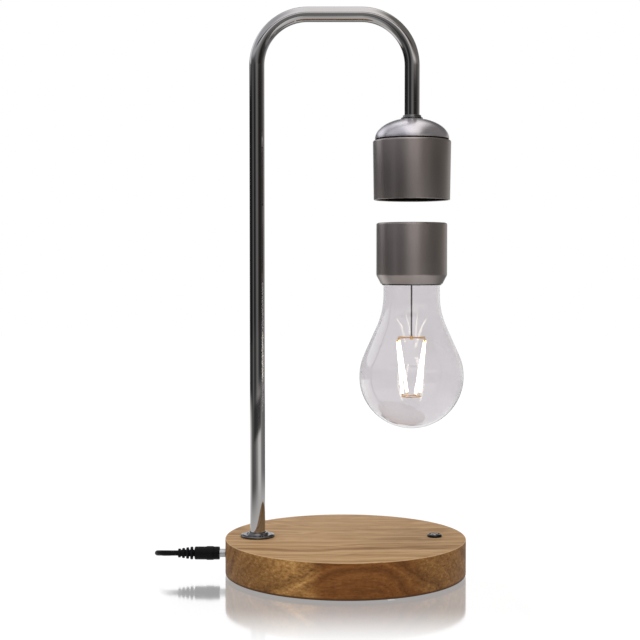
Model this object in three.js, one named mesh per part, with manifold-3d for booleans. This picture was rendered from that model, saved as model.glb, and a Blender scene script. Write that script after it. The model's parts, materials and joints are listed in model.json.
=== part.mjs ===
// Levitating lamp: a wooden base with an arched tube stand, a magnet holder under the arch,
// and a filament bulb that floats in the air below the holder.
// Millimetres. +Z is up, +X runs from the stand's foot towards the bulb, +Y points to the back.
// The origin is on the floor below the middle of the wooden base.

import * as THREE from 'three';
import { mergeVertices } from 'three/addons/utils/BufferGeometryUtils.js';
import Module from 'manifold-3d';

const wasm = await Module();
wasm.setup();

// Clearances, and how far a cutter runs past what it cuts

const seatGap = 0.3;
const overrun = 1;

// Facets round a full turn

const wideFacets = 64;
const bulbFacets = 40;
const roundFacets = 20;
const smallFacets = 12;
const wireFacets = 6;
const arcSteps = 4;

// Wooden base

const base = {
  radius: 80,
  thickness: 23.5,
  liftOffFloor: 1,
  edgeBevel: 0.5,
  wall: 12,
  roofThickness: 5,
};
const pocketRadius = base.radius - base.wall;
const baseBottom = base.liftOffFloor;
const baseTop = baseBottom + base.thickness;
const pocketTop = baseTop - base.roofThickness;

const cover = { rim: 5.2, thickness: 2.2, inset: 0.8 };
const rebateRadius = base.radius - cover.rim;
const coverRadius = rebateRadius - seatGap;
const coverBottom = baseBottom + cover.inset;
const coverTop = coverBottom + cover.thickness;

const foot = { count: 4, radius: 6.5, setback: 17.5, bevel: 0.4, turn: Math.PI / 4 };
const footCircleRadius = coverRadius - foot.setback;

const coverScrew = {
  count: 4,
  shankRadius: 1.4,
  headRadius: 2.6,
  headHeight: 1.4,
  length: 10,
  slotWidth: 0.7,
  slotDepth: 0.6,
  turn: Math.PI / 8,
};
const screwCircleRadius = (pocketRadius + rebateRadius) / 2;

// Electronics in the base

const board = { edgeGap: 7, width: 34, thickness: 1.6, cornerRadius: 6 };
const boardLength = 2 * (pocketRadius - board.edgeGap);
const post = { height: 3.5, radius: 3, x: 34, y: 12 };
const boardBottom = coverTop + post.height;
const boardTop = boardBottom + board.thickness;
const boardScrew = { shankRadius: 1.1, headRadius: 2.1, headHeight: 1.3, length: 5 };
const chip = { length: 9, width: 7, height: 1.4, x: -16, y: 4 };
const choke = { radius: 5.5, height: 4.2, x: 14, y: -6 };
const capacitor = { radius: 3.1, height: 6, x: -38, y: -9 };

const chargeCoil = { radius: 22, holeRadius: 10, thickness: 1.3 };
const ferrite = { side: 50, thickness: 1 };

// Power socket in the left side of the wood

const jack = {
  radius: 5.2,
  setback: 0.5,
  boreRadius: 3.05,
  boreFloor: 2.5,
  pinRadius: 1,
  pinSetback: 1.2,
  tabWidth: 3,
  tabHeight: 1,
  tabLength: 6,
};
const jackLength = base.wall - jack.setback;
const jackBoreDepth = jackLength - jack.boreFloor;
const socketHeight = 13.4;

// Push button at the right end of the base

const button = {
  setback: 20.5,
  bezelRadius: 4.95,
  bezelHeight: 1.8,
  bezelBevel: 0.7,
  threadRadius: 4,
  threadLength: 10,
  boreRadius: 3.25,
  floorThickness: 1.6,
  nutAcrossFlats: 11,
  nutHeight: 2.4,
  plungerProud: 0.4,
  plungerBevel: 0.5,
  plungerHeight: 4.6,
  springThickness: 0.9,
};
const buttonX = base.radius - button.setback;

// Tube stand

const tube = {
  radius: 5,
  wall: 1,
  footSetback: 21.4,
  dropSetback: 36.3,
  barHeight: 370.3,
  bendRadius: 33.4,
  drop: 79.9,
};
const tubeFootX = tube.footSetback - base.radius;
const tubeDropX = base.radius - tube.dropSetback;
const tubeEnd = tube.barHeight - tube.drop;
const tubeDepthInBase = 12.5;
const tubeDepthInHolder = 11.5;
const lead = { radius: 3 };
const collar = { radius: 11.4, thickness: 1.9, bevel: 0.7, ringRadius: 6.6, ringHeight: 1.3 };
const washer = { radius: 8.4, thickness: 1.2 };
const standNut = { acrossFlats: 14, height: 4 };

// Holder that hangs from the tube and keeps the bulb floating

const holder = {
  skirtRadiusBottom: 25.2,
  skirtRadiusTop: 25.8,
  skirtHeight: 38.8,
  shoulderBevel: 0.9,
  wall: 1.2,
  lipRadius: 24.1,
  lipHeight: 1,
  spigotHeight: 3,
  rimRound: 0.5,
};
const seamGap = 0.3;
const dome = { radius: 24.5, height: 13.2, wall: 1.2 };
const domeBottom = tubeEnd + tubeDepthInHolder - dome.height;
const shoulderTop = domeBottom - seamGap - holder.lipHeight;
const holderBottom = shoulderTop - holder.skirtHeight;
const ferrule = { radius: 7.2, neckRadius: 6.2, height: 2.6 };
const holderNut = { acrossFlats: 13, height: 3.6 };
const holderCover = { thickness: 1.6, inset: 0.5 };
const transmitter = { width: 4.4, thickness: 1.4 };
const sensorBoard = { thickness: 1.6 };
const magnetCore = { poleRadius: 6, flangeRadius: 19, flangeThickness: 3 };
const magnetCoil = { radius: 18, height: 23 };
const bridge = { thickness: 2 };

// Floating bulb

const floatGap = 15.1;
const cap = {
  height: 41.1,
  radius: 23.4,
  wall: 1.7,
  bevelHeight: 6.6,
  bevelInset: 3.6,
  creaseInset: 0.4,
  topBevel: 0.7,
};
const capTop = holderBottom - floatGap;
const capBottom = capTop - cap.height;
const lid = { thickness: 2, rebate: 0.6 };
const magnet = { radius: 13, height: 11.5, rimRound: 0.6 };
const receiver = { width: 6, thickness: 2 };
const magnetHolder = { wall: 1.5, floor: 2.6, roomBelow: 6.1 };
const bulbBoard = { thickness: 1.6 };
const neckPlug = { depth: 12, flangeThickness: 1 };
const glass = {
  wall: 1,
  radius: 34.6,
  centreBelowCap: 60.4,
  coneSlope: 0.454,
  shoulderRadius: 53,
  neckRadius: 18.6,
};
const magnetTop = capTop - lid.thickness - seatGap;
const magnetBottom = magnetTop - magnet.height;
const cupFloorTop = magnetBottom - seatGap;
const cupFloorBottom = cupFloorTop - magnetHolder.floor;
const bulbBoardTop = cupFloorBottom - magnetHolder.roomBelow;
const neckPlugTop = bulbBoardTop - bulbBoard.thickness;
const glassTop = neckPlugTop - neckPlug.flangeThickness;
const glassCentre = capBottom - glass.centreBelowCap;

// Rod, wires and glowing filaments inside the glass

const rod = { radius: 0.55, reachBelowCap: 36.2 };
const wire = { radius: 0.35, hubRadius: 1.2, hubHeight: 2.4 };
const filament = {
  count: 4,
  radius: 0.9,
  topReach: 12.6,
  bottomReach: 6.3,
  drop: 37.3,
  topTurn: (2 * Math.PI) / 9,
  bottomTurn: Math.PI / 9,
};
const rodBottom = capBottom - rod.reachBelowCap;

// Plug and cord

const plug = {
  barrelRadius: 2.75,
  barrelBoreRadius: 1.35,
  barrelOutside: 4,
  barrelInside: 5.5,
  bodyRadius: 4.3,
  bodyLength: 16.7,
  noseBevel: 0.4,
  rearBevel: 0.8,
  gripRadius: 4.6,
  gripSetback: 4,
  gripLength: 4.8,
  reliefLength: 11,
  reliefFrontRadius: 4.2,
  reliefRearRadius: 2.95,
  reliefRibs: 4,
  reliefRibShare: 0.58,
  reliefWall: 0.5,
};
const cordRadius = 1.75;
const cordSides = 8;
const leadStep = 7.6;

// The cord goes straight out of the plug, turns back and sinks to the floor, runs behind the plug
// and round the back of the base to the coil.

const leadRoute = [
  [-112, 0, 13.4],
  [-115.5, 0, 13.4],
  [-119, 0.4, 13.35],
  [-123.2, 2.6, 12.9],
  [-126.2, 7.2, 11.9],
  [-127.2, 14, 10.4],
  [-127.2, 22, 8.6],
  [-127.2, 30, 6.9],
  [-127.2, 38, 5.1],
  [-126.4, 44.6, 3.5],
  [-123.4, 50.4, 2.3],
  [-118.2, 53.8, 1.8],
  [-111.5, 54.6, 1.75],
  [-103, 54.6, 1.75],
  [-94, 55.4, 1.75],
  [-84.5, 58.2, 1.75],
  [-74.5, 63, 1.75],
  [-63.5, 69, 1.75],
  [-51, 75.4, 1.75],
  [-38, 80.8, 1.75],
  [-27, 83.3, 1.75],
  [-20, 83.5, 1.75],
  [-13.8, 83.5, 1.75],
];
const tailRoute = [
  [-6.2, 83.5, 5.75],
  [-2, 83.5, 5.75],
  [4, 83.8, 5.3],
  [12, 84.9, 3.9],
  [20, 86.8, 2.6],
  [27, 88.5, 2.5],
  [33, 89.4, 3.4],
  [38, 89.5, 4],
  [42, 89.5, 4],
];
const coil = {
  x: -10,
  y: 113,
  outerRadius: 29.5,
  pitch: 4,
  turns: 9,
  climbTurns: 0.5,
  stepsPerTurn: 24,
  sides: 6,
};
const usb = {
  housingLength: 21,
  housingWidth: 13,
  housingHeight: 8,
  housingRound: 2,
  shellLength: 15,
  shellWidth: 12,
  shellHeight: 4.5,
  shellWall: 0.4,
  tongueHeight: 1.9,
};

// Solid helpers

// One closed surface with merged corners, no flat slivers, and its faces pointing out.
function closedGeometry(geometry) {
  const bare = new THREE.BufferGeometry();
  bare.setAttribute('position', geometry.getAttribute('position').clone());
  if (geometry.index) bare.setIndex(geometry.index.clone());
  const merged = mergeVertices(bare);
  const position = merged.getAttribute('position');
  const corners = [new THREE.Vector3(), new THREE.Vector3(), new THREE.Vector3()];
  const kept = [];
  let volume = 0;
  for (let first = 0; first < merged.index.count; first += 3) {
    const face = [0, 1, 2].map((corner) => merged.index.getX(first + corner));
    if (new Set(face).size < face.length) continue;
    kept.push(face);
    face.forEach((vertex, corner) => corners[corner].fromBufferAttribute(position, vertex));
    volume += corners[0].dot(corners[1].clone().cross(corners[2]));
  }
  merged.setIndex(kept.flatMap((face) => (volume < 0 ? face.toReversed() : face)));
  return merged;
}

function toSolid(geometry) {
  const closed = closedGeometry(geometry);
  const mesh = new wasm.Mesh({
    numProp: 3,
    vertProperties: new Float32Array(closed.getAttribute('position').array),
    triVerts: new Uint32Array(closed.index.array),
  });
  return new wasm.Manifold(mesh);
}

function toGeometry(solid) {
  const mesh = solid.getMesh();
  const geometry = new THREE.BufferGeometry();
  geometry.setAttribute('position', new THREE.BufferAttribute(mesh.vertProperties, 3));
  geometry.setIndex(new THREE.BufferAttribute(mesh.triVerts, 1));
  return geometry;
}

function join(first, ...others) {
  return toGeometry(others.reduce((solid, other) => solid.add(toSolid(other)), toSolid(first)));
}

function cut(blank, ...cutters) {
  return toGeometry(cutters.reduce((solid, cutter) => solid.subtract(toSolid(cutter)), toSolid(blank)));
}

// A solid of revolution about Z from [radius, height] points. Off the axis, the outline closes on itself.
function turned(outline, facets) {
  const points = outline.map(([radius, height]) => new THREE.Vector2(radius, height));
  const startsOnAxis = points[0].x === 0;
  if (!startsOnAxis) points.push(points[0].clone());
  return closedGeometry(new THREE.LatheGeometry(points, facets).rotateX(Math.PI / 2));
}

function disc(radius, bottom, top, facets) {
  return turned([[0, bottom], [radius, bottom], [radius, top], [0, top]], facets);
}

function ring(innerRadius, outerRadius, bottom, top, facets) {
  const outline = [[innerRadius, bottom], [outerRadius, bottom], [outerRadius, top], [innerRadius, top]];
  return turned(outline, facets);
}

function box(length, width, bottom, top) {
  const height = top - bottom;
  return new THREE.BoxGeometry(length, width, height).translate(0, 0, bottom + height / 2);
}

function polygon(radius, sides) {
  const corner = (step) => {
    const angle = (2 * Math.PI * step) / sides;
    return new THREE.Vector2(radius * Math.cos(angle), radius * Math.sin(angle));
  };
  return Array.from({ length: sides }, (unused, step) => corner(step));
}

function roundedRectangle(length, width, cornerRadius) {
  const shape = new THREE.Shape();
  const x = length / 2 - cornerRadius;
  const y = width / 2 - cornerRadius;
  shape.absarc(x, y, cornerRadius, 0, Math.PI / 2);
  shape.absarc(-x, y, cornerRadius, Math.PI / 2, Math.PI);
  shape.absarc(-x, -y, cornerRadius, Math.PI, 1.5 * Math.PI);
  shape.absarc(x, -y, cornerRadius, 1.5 * Math.PI, 2 * Math.PI);
  shape.closePath();
  return shape;
}

function plate(shape, bottom, top) {
  const options = { depth: top - bottom, bevelEnabled: false, curveSegments: arcSteps };
  return closedGeometry(new THREE.ExtrudeGeometry(shape, options).translate(0, 0, bottom));
}

function hexNut(acrossFlats, holeRadius, bottom, top) {
  const hexSides = 6;
  const shape = new THREE.Shape(polygon(acrossFlats / 2 / Math.cos(Math.PI / hexSides), hexSides));
  shape.holes.push(new THREE.Path(polygon(holeRadius, smallFacets)));
  return plate(shape, bottom, top);
}

// Points of an arc in the outline plane, both ends included.
function arc(centreRadius, centreHeight, radiusAcross, radiusUp, fromAngle, toAngle, steps) {
  return Array.from({ length: steps + 1 }, (unused, step) => {
    const angle = fromAngle + ((toAngle - fromAngle) * step) / steps;
    return [centreRadius + radiusAcross * Math.cos(angle), centreHeight + radiusUp * Math.sin(angle)];
  });
}

// A path whose sections stand at chosen stations, so that straight runs need no extra sections.
class StationPath extends THREE.Curve {
  constructor(stations) {
    super();
    this.stations = stations;
  }

  at(share, key) {
    const place = share * (this.stations.length - 1);
    const before = Math.min(Math.floor(place), this.stations.length - 2);
    return this.stations[before][key].clone().lerp(this.stations[before + 1][key], place - before);
  }

  getPoint(share) {
    return this.at(share, 'point');
  }

  getPointAt(share) {
    return this.at(share, 'point');
  }

  getTangent(share) {
    return this.at(share, 'tangent').normalize();
  }

  getTangentAt(share) {
    return this.at(share, 'tangent').normalize();
  }
}

function sweep(shape, path, steps) {
  return closedGeometry(new THREE.ExtrudeGeometry(shape, { steps, bevelEnabled: false, extrudePath: path }));
}

function sweepStations(shape, stations) {
  return sweep(shape, new StationPath(stations), stations.length - 1);
}

// A mesh with its own material.
function piece(name, geometry, [color, roughness, metalness]) {
  const mesh = new THREE.Mesh(geometry, new THREE.MeshStandardMaterial({ color, roughness, metalness }));
  mesh.name = name;
  return mesh;
}

function placed(object, x, y, z) {
  object.position.set(x, y, z);
  return object;
}

function group(...members) {
  return new THREE.Group().add(...members);
}

// Finishes as colour, roughness and metalness

const finish = {
  oak: [0xb98a5c, 0.55, 0],
  blackPlastic: [0x17171a, 0.5, 0],
  rubber: [0x1b1b1b, 0.9, 0],
  steel: [0xa9a9ad, 0.35, 1],
  chrome: [0xd8dadd, 0.12, 1],
  gunmetal: [0x77706b, 0.32, 0.9],
  polished: [0xbdb9bc, 0.2, 1],
  copper: [0xb5683a, 0.35, 1],
  circuit: [0x1f5a3a, 0.6, 0],
  ferrite: [0x2b2b2e, 0.7, 0],
  ironCore: [0x5b5b60, 0.5, 0.8],
  cable: [0x202023, 0.6, 0],
  glass: [0xc8c3c5, 0.05, 0],
  brassWire: [0xb98a4a, 0.3, 1],
  darkWire: [0x3a3431, 0.5, 0.8],
  phosphor: [0xffe9c4, 0.6, 0],
  whitePlastic: [0xe6e3dc, 0.5, 0],
};

// Wooden base with its pocket, the tube and button holes, and the socket's hole

function woodBase() {
  const { radius, edgeBevel } = base;
  const blank = turned(
    [
      [0, pocketTop],
      [pocketRadius, pocketTop],
      [pocketRadius, coverTop],
      [rebateRadius, coverTop],
      [rebateRadius, baseBottom],
      [radius - edgeBevel, baseBottom],
      [radius, baseBottom + edgeBevel],
      [radius, baseTop - edgeBevel],
      [radius - edgeBevel, baseTop],
      [0, baseTop],
    ],
    wideFacets,
  );
  const holeFrom = pocketTop - overrun;
  const holeTo = baseTop + overrun;
  const tubeHole = disc(tube.radius + seatGap, holeFrom, holeTo, roundFacets).translate(tubeFootX, 0, 0);
  const buttonHole = disc(button.threadRadius + seatGap, holeFrom, holeTo, roundFacets);
  buttonHole.translate(buttonX, 0, 0);
  const socketHole = disc(jack.radius + seatGap, -radius - overrun, overrun - pocketRadius, roundFacets);
  socketHole.rotateY(Math.PI / 2).translate(0, 0, socketHeight);
  const screwTop = coverBottom + coverScrew.length + seatGap;
  const screwHoles = coverScrewPlaces().map(([x, y]) =>
    disc(coverScrew.shankRadius + seatGap, coverBottom, screwTop, smallFacets).translate(x, y, 0),
  );
  return piece('wood_base', cut(blank, tubeHole, buttonHole, socketHole, ...screwHoles), finish.oak);
}

function placesOnCircle(count, circleRadius, turn) {
  return Array.from({ length: count }, (unused, step) => {
    const angle = turn + (2 * Math.PI * step) / count;
    return [circleRadius * Math.cos(angle), circleRadius * Math.sin(angle)];
  });
}

function coverScrewPlaces() {
  return placesOnCircle(coverScrew.count, screwCircleRadius, coverScrew.turn);
}

function boardPostPlaces() {
  return [
    [-post.x, post.y],
    [post.x, -post.y],
  ];
}

// Bottom cover with the posts for the board

function baseCover() {
  const posts = boardPostPlaces().map(([x, y]) =>
    disc(post.radius, coverBottom, boardBottom, smallFacets).translate(x, y, 0),
  );
  const blank = join(disc(coverRadius, coverBottom, coverTop, wideFacets), ...posts);
  const { shankRadius, headRadius, headHeight } = coverScrew;
  const countersink = turned(
    [
      [0, coverBottom - overrun],
      [headRadius + seatGap, coverBottom - overrun],
      [headRadius + seatGap, coverBottom],
      [shankRadius + seatGap, coverBottom + headHeight],
      [shankRadius + seatGap, coverTop + overrun],
      [0, coverTop + overrun],
    ],
    smallFacets,
  );
  const sinks = coverScrewPlaces().map(([x, y]) => countersink.clone().translate(x, y, 0));
  const threadBottom = boardTop - boardScrew.length - seatGap;
  const threads = boardPostPlaces().map(([x, y]) =>
    disc(boardScrew.shankRadius + seatGap, threadBottom, boardTop, smallFacets).translate(x, y, 0),
  );
  return piece('base_cover', cut(blank, ...sinks, ...threads), finish.blackPlastic);
}

function feet() {
  const outline = [
    [0, 0],
    [foot.radius - foot.bevel, 0],
    [foot.radius, foot.bevel],
    [foot.radius, coverBottom],
    [0, coverBottom],
  ];
  return placesOnCircle(foot.count, footCircleRadius, foot.turn).map(([x, y], index) =>
    placed(piece(`foot_${index + 1}`, turned(outline, roundFacets), finish.rubber), x, y, 0),
  );
}

function coverScrews() {
  const { shankRadius, headRadius, headHeight, length, slotWidth, slotDepth } = coverScrew;
  const outline = [
    [0, 0],
    [headRadius, 0],
    [shankRadius, headHeight],
    [shankRadius, length],
    [0, length],
  ];
  const slot = box(2 * headRadius + overrun, slotWidth, -overrun, slotDepth);
  const screw = cut(turned(outline, smallFacets), slot);
  return coverScrewPlaces().map(([x, y], index) =>
    placed(piece(`cover_screw_${index + 1}`, screw.clone(), finish.steel), x, y, coverBottom),
  );
}

// Control board with its chip, choke and capacitor, held on the posts by two screws

function mainBoard() {
  const outline = roundedRectangle(boardLength, board.width, board.cornerRadius);
  const onBoard = boardTop - board.thickness / 2;
  const parts = [
    box(chip.length, chip.width, onBoard, boardTop + chip.height).translate(chip.x, chip.y, 0),
    disc(choke.radius, onBoard, boardTop + choke.height, smallFacets).translate(choke.x, choke.y, 0),
    disc(capacitor.radius, onBoard, boardTop + capacitor.height, smallFacets)
      .translate(capacitor.x, capacitor.y, 0),
  ];
  const holes = boardPostPlaces().map(([x, y]) =>
    disc(boardScrew.shankRadius + seatGap, boardBottom - overrun, boardTop + overrun, smallFacets)
      .translate(x, y, 0),
  );
  const blank = join(plate(outline, boardBottom, boardTop), ...parts);
  return piece('main_board', cut(blank, ...holes), finish.circuit);
}

function boardScrews() {
  const { shankRadius, headRadius, headHeight, length } = boardScrew;
  const outline = [
    [0, -length],
    [shankRadius, -length],
    [shankRadius, 0],
    [headRadius, 0],
    [headRadius, headHeight],
    [0, headHeight],
  ];
  return boardPostPlaces().map(([x, y], index) =>
    placed(piece(`board_screw_${index + 1}`, turned(outline, smallFacets), finish.steel), x, y, boardTop),
  );
}

// Charging coil for a telephone, flat under the roof of the wood, with its ferrite sheet

function chargingCoil() {
  const bottom = pocketTop - chargeCoil.thickness;
  const coilGeometry = ring(chargeCoil.holeRadius, chargeCoil.radius, bottom, pocketTop, roundFacets);
  const sheet = box(ferrite.side, ferrite.side, bottom - ferrite.thickness, bottom);
  return [piece('charging_coil', coilGeometry, finish.copper), piece('ferrite_sheet', sheet, finish.ferrite)];
}

// Power socket, built along +Z from its mouth and turned to lie along +X

function powerSocket() {
  const { radius, boreRadius, pinRadius, pinSetback } = jack;
  const shell = turned(
    [
      [0, jackBoreDepth],
      [boreRadius, jackBoreDepth],
      [boreRadius, 0],
      [radius, 0],
      [radius, jackLength],
      [0, jackLength],
    ],
    roundFacets,
  );
  const pinHole = disc(pinRadius + seatGap, jackBoreDepth - overrun, jackLength - overrun, smallFacets);
  const tab = new THREE.BoxGeometry(jack.tabHeight, jack.tabWidth, jack.tabLength + overrun);
  const tabHeight = boardTop + seatGap + jack.tabHeight / 2;
  tab.translate(socketHeight - tabHeight, 0, jackLength + (jack.tabLength - overrun) / 2);
  const socket = piece('dc_jack', cut(join(shell, tab), pinHole), finish.blackPlastic);
  const pinTop = jackLength - overrun - seatGap;
  const pin = piece('jack_pin', disc(pinRadius, pinSetback, pinTop, smallFacets), finish.steel);
  const lying = group(socket, pin);
  lying.rotation.y = Math.PI / 2;
  return placed(lying, -base.radius, 0, socketHeight);
}

// Push button: a threaded body with a bezel, its nut, the plunger and the return spring

function pushButton() {
  const { bezelRadius, bezelHeight, bezelBevel, threadRadius, boreRadius, floorThickness } = button;
  const bodyBottom = -button.threadLength;
  const boreBottom = bodyBottom + floorThickness;
  const body = turned(
    [
      [0, bodyBottom],
      [threadRadius, bodyBottom],
      [threadRadius, 0],
      [bezelRadius, 0],
      [bezelRadius, bezelHeight - bezelBevel],
      [bezelRadius - bezelBevel, bezelHeight],
      [boreRadius, bezelHeight],
      [boreRadius, boreBottom],
      [0, boreBottom],
    ],
    roundFacets,
  );
  const plungerRadius = boreRadius - seatGap;
  const plungerTop = bezelHeight + button.plungerProud;
  const plungerBottom = plungerTop - button.plungerHeight;
  const plunger = turned(
    [
      [0, plungerBottom],
      [plungerRadius, plungerBottom],
      [plungerRadius, plungerTop - button.plungerBevel],
      [plungerRadius - button.plungerBevel, plungerTop],
      [0, plungerTop],
    ],
    roundFacets,
  );
  const springInner = plungerRadius - button.springThickness;
  const spring = ring(springInner, plungerRadius, boreBottom, plungerBottom, smallFacets);
  const nutTop = pocketTop - baseTop;
  const nutBottom = nutTop - button.nutHeight;
  const nut = hexNut(button.nutAcrossFlats, threadRadius + seatGap, nutBottom, nutTop);
  const members = group(
    piece('button_body', body, finish.chrome),
    piece('button_plunger', plunger, finish.gunmetal),
    piece('button_spring', spring, finish.steel),
    piece('button_nut', nut, finish.steel),
  );
  return placed(members, buttonX, 0, baseTop);
}

// Stations along the arched tube, from its lower end in the base to its end in the holder

function archStations(startHeight, endHeight) {
  const left = tubeFootX;
  const right = tubeDropX;
  const bend = tube.bendRadius;
  const bendSteps = 7;
  const up = new THREE.Vector3(0, 0, 1);
  const bendCentreHeight = tube.barHeight - bend;
  const stations = [{ point: new THREE.Vector3(left, 0, startHeight), tangent: up }];
  for (const [centreX, fromAngle] of [[left + bend, Math.PI], [right - bend, Math.PI / 2]]) {
    for (let step = 0; step <= bendSteps; step += 1) {
      const angle = fromAngle - ((Math.PI / 2) * step) / bendSteps;
      const out = new THREE.Vector3(Math.cos(angle), 0, Math.sin(angle));
      const point = out.clone().multiplyScalar(bend).add(new THREE.Vector3(centreX, 0, bendCentreHeight));
      stations.push({ point, tangent: new THREE.Vector3(out.z, 0, -out.x) });
    }
  }
  stations.push({ point: new THREE.Vector3(right, 0, endHeight), tangent: up.clone().negate() });
  return stations;
}

function stand() {
  const tubeBottom = baseTop - tubeDepthInBase;
  const leadBottom = boardTop + seatGap;
  const leadEnd = bridgeTop() + seatGap;
  const wallShape = new THREE.Shape(polygon(tube.radius, roundFacets));
  wallShape.holes.push(new THREE.Path(polygon(tube.radius - tube.wall, roundFacets)));
  const leadShape = new THREE.Shape(polygon(lead.radius, smallFacets));
  const tubeGeometry = sweepStations(wallShape, archStations(tubeBottom, tubeEnd));
  const leadGeometry = sweepStations(leadShape, archStations(leadBottom, leadEnd));
  const hole = tube.radius + seatGap;
  const collarTop = baseTop + collar.thickness;
  const collarGeometry = turned(
    [
      [hole, baseTop],
      [collar.radius, baseTop],
      [collar.radius, collarTop - collar.bevel],
      [collar.radius - collar.bevel, collarTop],
      [collar.ringRadius, collarTop],
      [collar.ringRadius, collarTop + collar.ringHeight],
      [hole, collarTop + collar.ringHeight],
    ],
    roundFacets,
  );
  const washerBottom = pocketTop - washer.thickness;
  const washerGeometry = ring(hole, washer.radius, washerBottom, pocketTop, roundFacets);
  const nutGeometry = hexNut(standNut.acrossFlats, hole, washerBottom - standNut.height, washerBottom);
  return [
    piece('stand_tube', tubeGeometry, finish.chrome),
    piece('tube_lead', leadGeometry, finish.cable),
    placed(piece('stand_collar', collarGeometry, finish.chrome), tubeFootX, 0, 0),
    placed(piece('stand_washer', washerGeometry, finish.steel), tubeFootX, 0, 0),
    placed(piece('stand_nut', nutGeometry, finish.steel), tubeFootX, 0, 0),
  ];
}

// Heights of what is stacked in the holder, from its cover upwards

function holderCoverTop() {
  return holderBottom + holderCover.inset + holderCover.thickness;
}

function sensorBoardTop() {
  return holderCoverTop() + transmitter.thickness + sensorBoard.thickness;
}

function magnetCoilTop() {
  return sensorBoardTop() + magnetCoil.height;
}

function bridgeTop() {
  return magnetCoilTop() + magnetCore.flangeThickness + bridge.thickness;
}

function holderShells() {
  const { skirtRadiusBottom, skirtRadiusTop, shoulderBevel, wall, lipRadius, lipHeight, rimRound } = holder;
  const lipTop = shoulderTop + lipHeight;
  const spigotTop = lipTop + holder.spigotHeight;
  const spigotRadius = domeRadiusAt(spigotTop, dome.wall) - seatGap;
  const skirt = turned(
    [
      [skirtRadiusBottom - wall, holderBottom],
      [skirtRadiusBottom - rimRound, holderBottom],
      [skirtRadiusBottom, holderBottom + rimRound],
      [skirtRadiusTop, shoulderTop - shoulderBevel],
      [skirtRadiusTop - shoulderBevel, shoulderTop],
      [lipRadius, shoulderTop],
      [lipRadius, lipTop],
      [spigotRadius, lipTop],
      [spigotRadius, spigotTop],
      [spigotRadius - wall, spigotTop],
      [spigotRadius - wall, shoulderTop - shoulderBevel - wall],
      [skirtRadiusTop - wall, shoulderTop - 2 * shoulderBevel - wall],
    ],
    bulbFacets,
  );
  const hole = tube.radius + seatGap;
  const outerEnd = Math.acos(hole / dome.radius);
  const innerRadius = dome.radius - dome.wall;
  const innerEnd = Math.acos(hole / innerRadius);
  const domeSteps = 6;
  const shell = turned(
    [
      ...arc(0, domeBottom, dome.radius, dome.height, 0, outerEnd, domeSteps),
      ...arc(0, domeBottom, innerRadius, dome.height - dome.wall, innerEnd, 0, domeSteps),
    ],
    bulbFacets,
  );
  return [piece('holder_skirt', skirt, finish.gunmetal), piece('holder_dome', shell, finish.polished)];
}

// The dome's radius at a height, and its height at a radius: outside with no wall, else inside

function domeRadiusAt(height, wall) {
  const share = (height - domeBottom) / (dome.height - wall);
  return (dome.radius - wall) * Math.sqrt(1 - share * share);
}

function domeHeightAt(radius, wall) {
  const share = radius / (dome.radius - wall);
  return domeBottom + (dome.height - wall) * Math.sqrt(1 - share * share);
}

function holderFasteners() {
  const hole = tube.radius + seatGap;
  const ferruleBottom = domeHeightAt(hole, 0) + seatGap / 2;
  const top = ferruleBottom + ferrule.height;
  const collarGeometry = turned(
    [
      [hole, ferruleBottom],
      [ferrule.radius, ferruleBottom],
      [ferrule.radius, ferruleBottom + ferrule.height / 3],
      [ferrule.neckRadius, top],
      [hole, top],
    ],
    roundFacets,
  );
  const nutRadius = holderNut.acrossFlats / 2 / Math.cos(Math.PI / 6);
  const nutTop = domeHeightAt(nutRadius, dome.wall) - seatGap;
  const nut = hexNut(holderNut.acrossFlats, hole, nutTop - holderNut.height, nutTop);
  return [piece('tube_ferrule', collarGeometry, finish.chrome), piece('holder_nut', nut, finish.steel)];
}

// Electromagnet, coils and boards in the holder, stacked on its black bottom cover

function holderInside() {
  const inside = holder.skirtRadiusBottom - holder.wall - seatGap;
  const coverFrom = holderBottom + holderCover.inset;
  const coverTo = holderCoverTop();
  const coilTo = coverTo + transmitter.thickness;
  const boardTo = sensorBoardTop();
  const windingTo = magnetCoilTop();
  const flangeTo = windingTo + magnetCore.flangeThickness;
  const poleHole = magnetCore.poleRadius + seatGap;
  const core = turned(
    [
      [0, coilTo],
      [magnetCore.poleRadius, coilTo],
      [magnetCore.poleRadius, windingTo],
      [magnetCore.flangeRadius, windingTo],
      [magnetCore.flangeRadius, flangeTo],
      [0, flangeTo],
    ],
    roundFacets,
  );
  const winding = ring(poleHole, magnetCoil.radius, boardTo, windingTo, roundFacets);
  const transmitterInner = inside - transmitter.width;
  return [
    piece('holder_cover', disc(inside, coverFrom, coverTo, bulbFacets), finish.blackPlastic),
    piece('transmitter_coil', ring(transmitterInner, inside, coverTo, coilTo, roundFacets), finish.copper),
    piece('sensor_board', ring(poleHole, inside, coilTo, boardTo, roundFacets), finish.circuit),
    piece('electromagnet_core', core, finish.ironCore),
    piece('electromagnet_coil', winding, finish.copper),
    piece('magnet_bridge', disc(inside, flangeTo, bridgeTop(), roundFacets), finish.steel),
  ];
}

// Bulb cap, its lid, and what the cap holds

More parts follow.
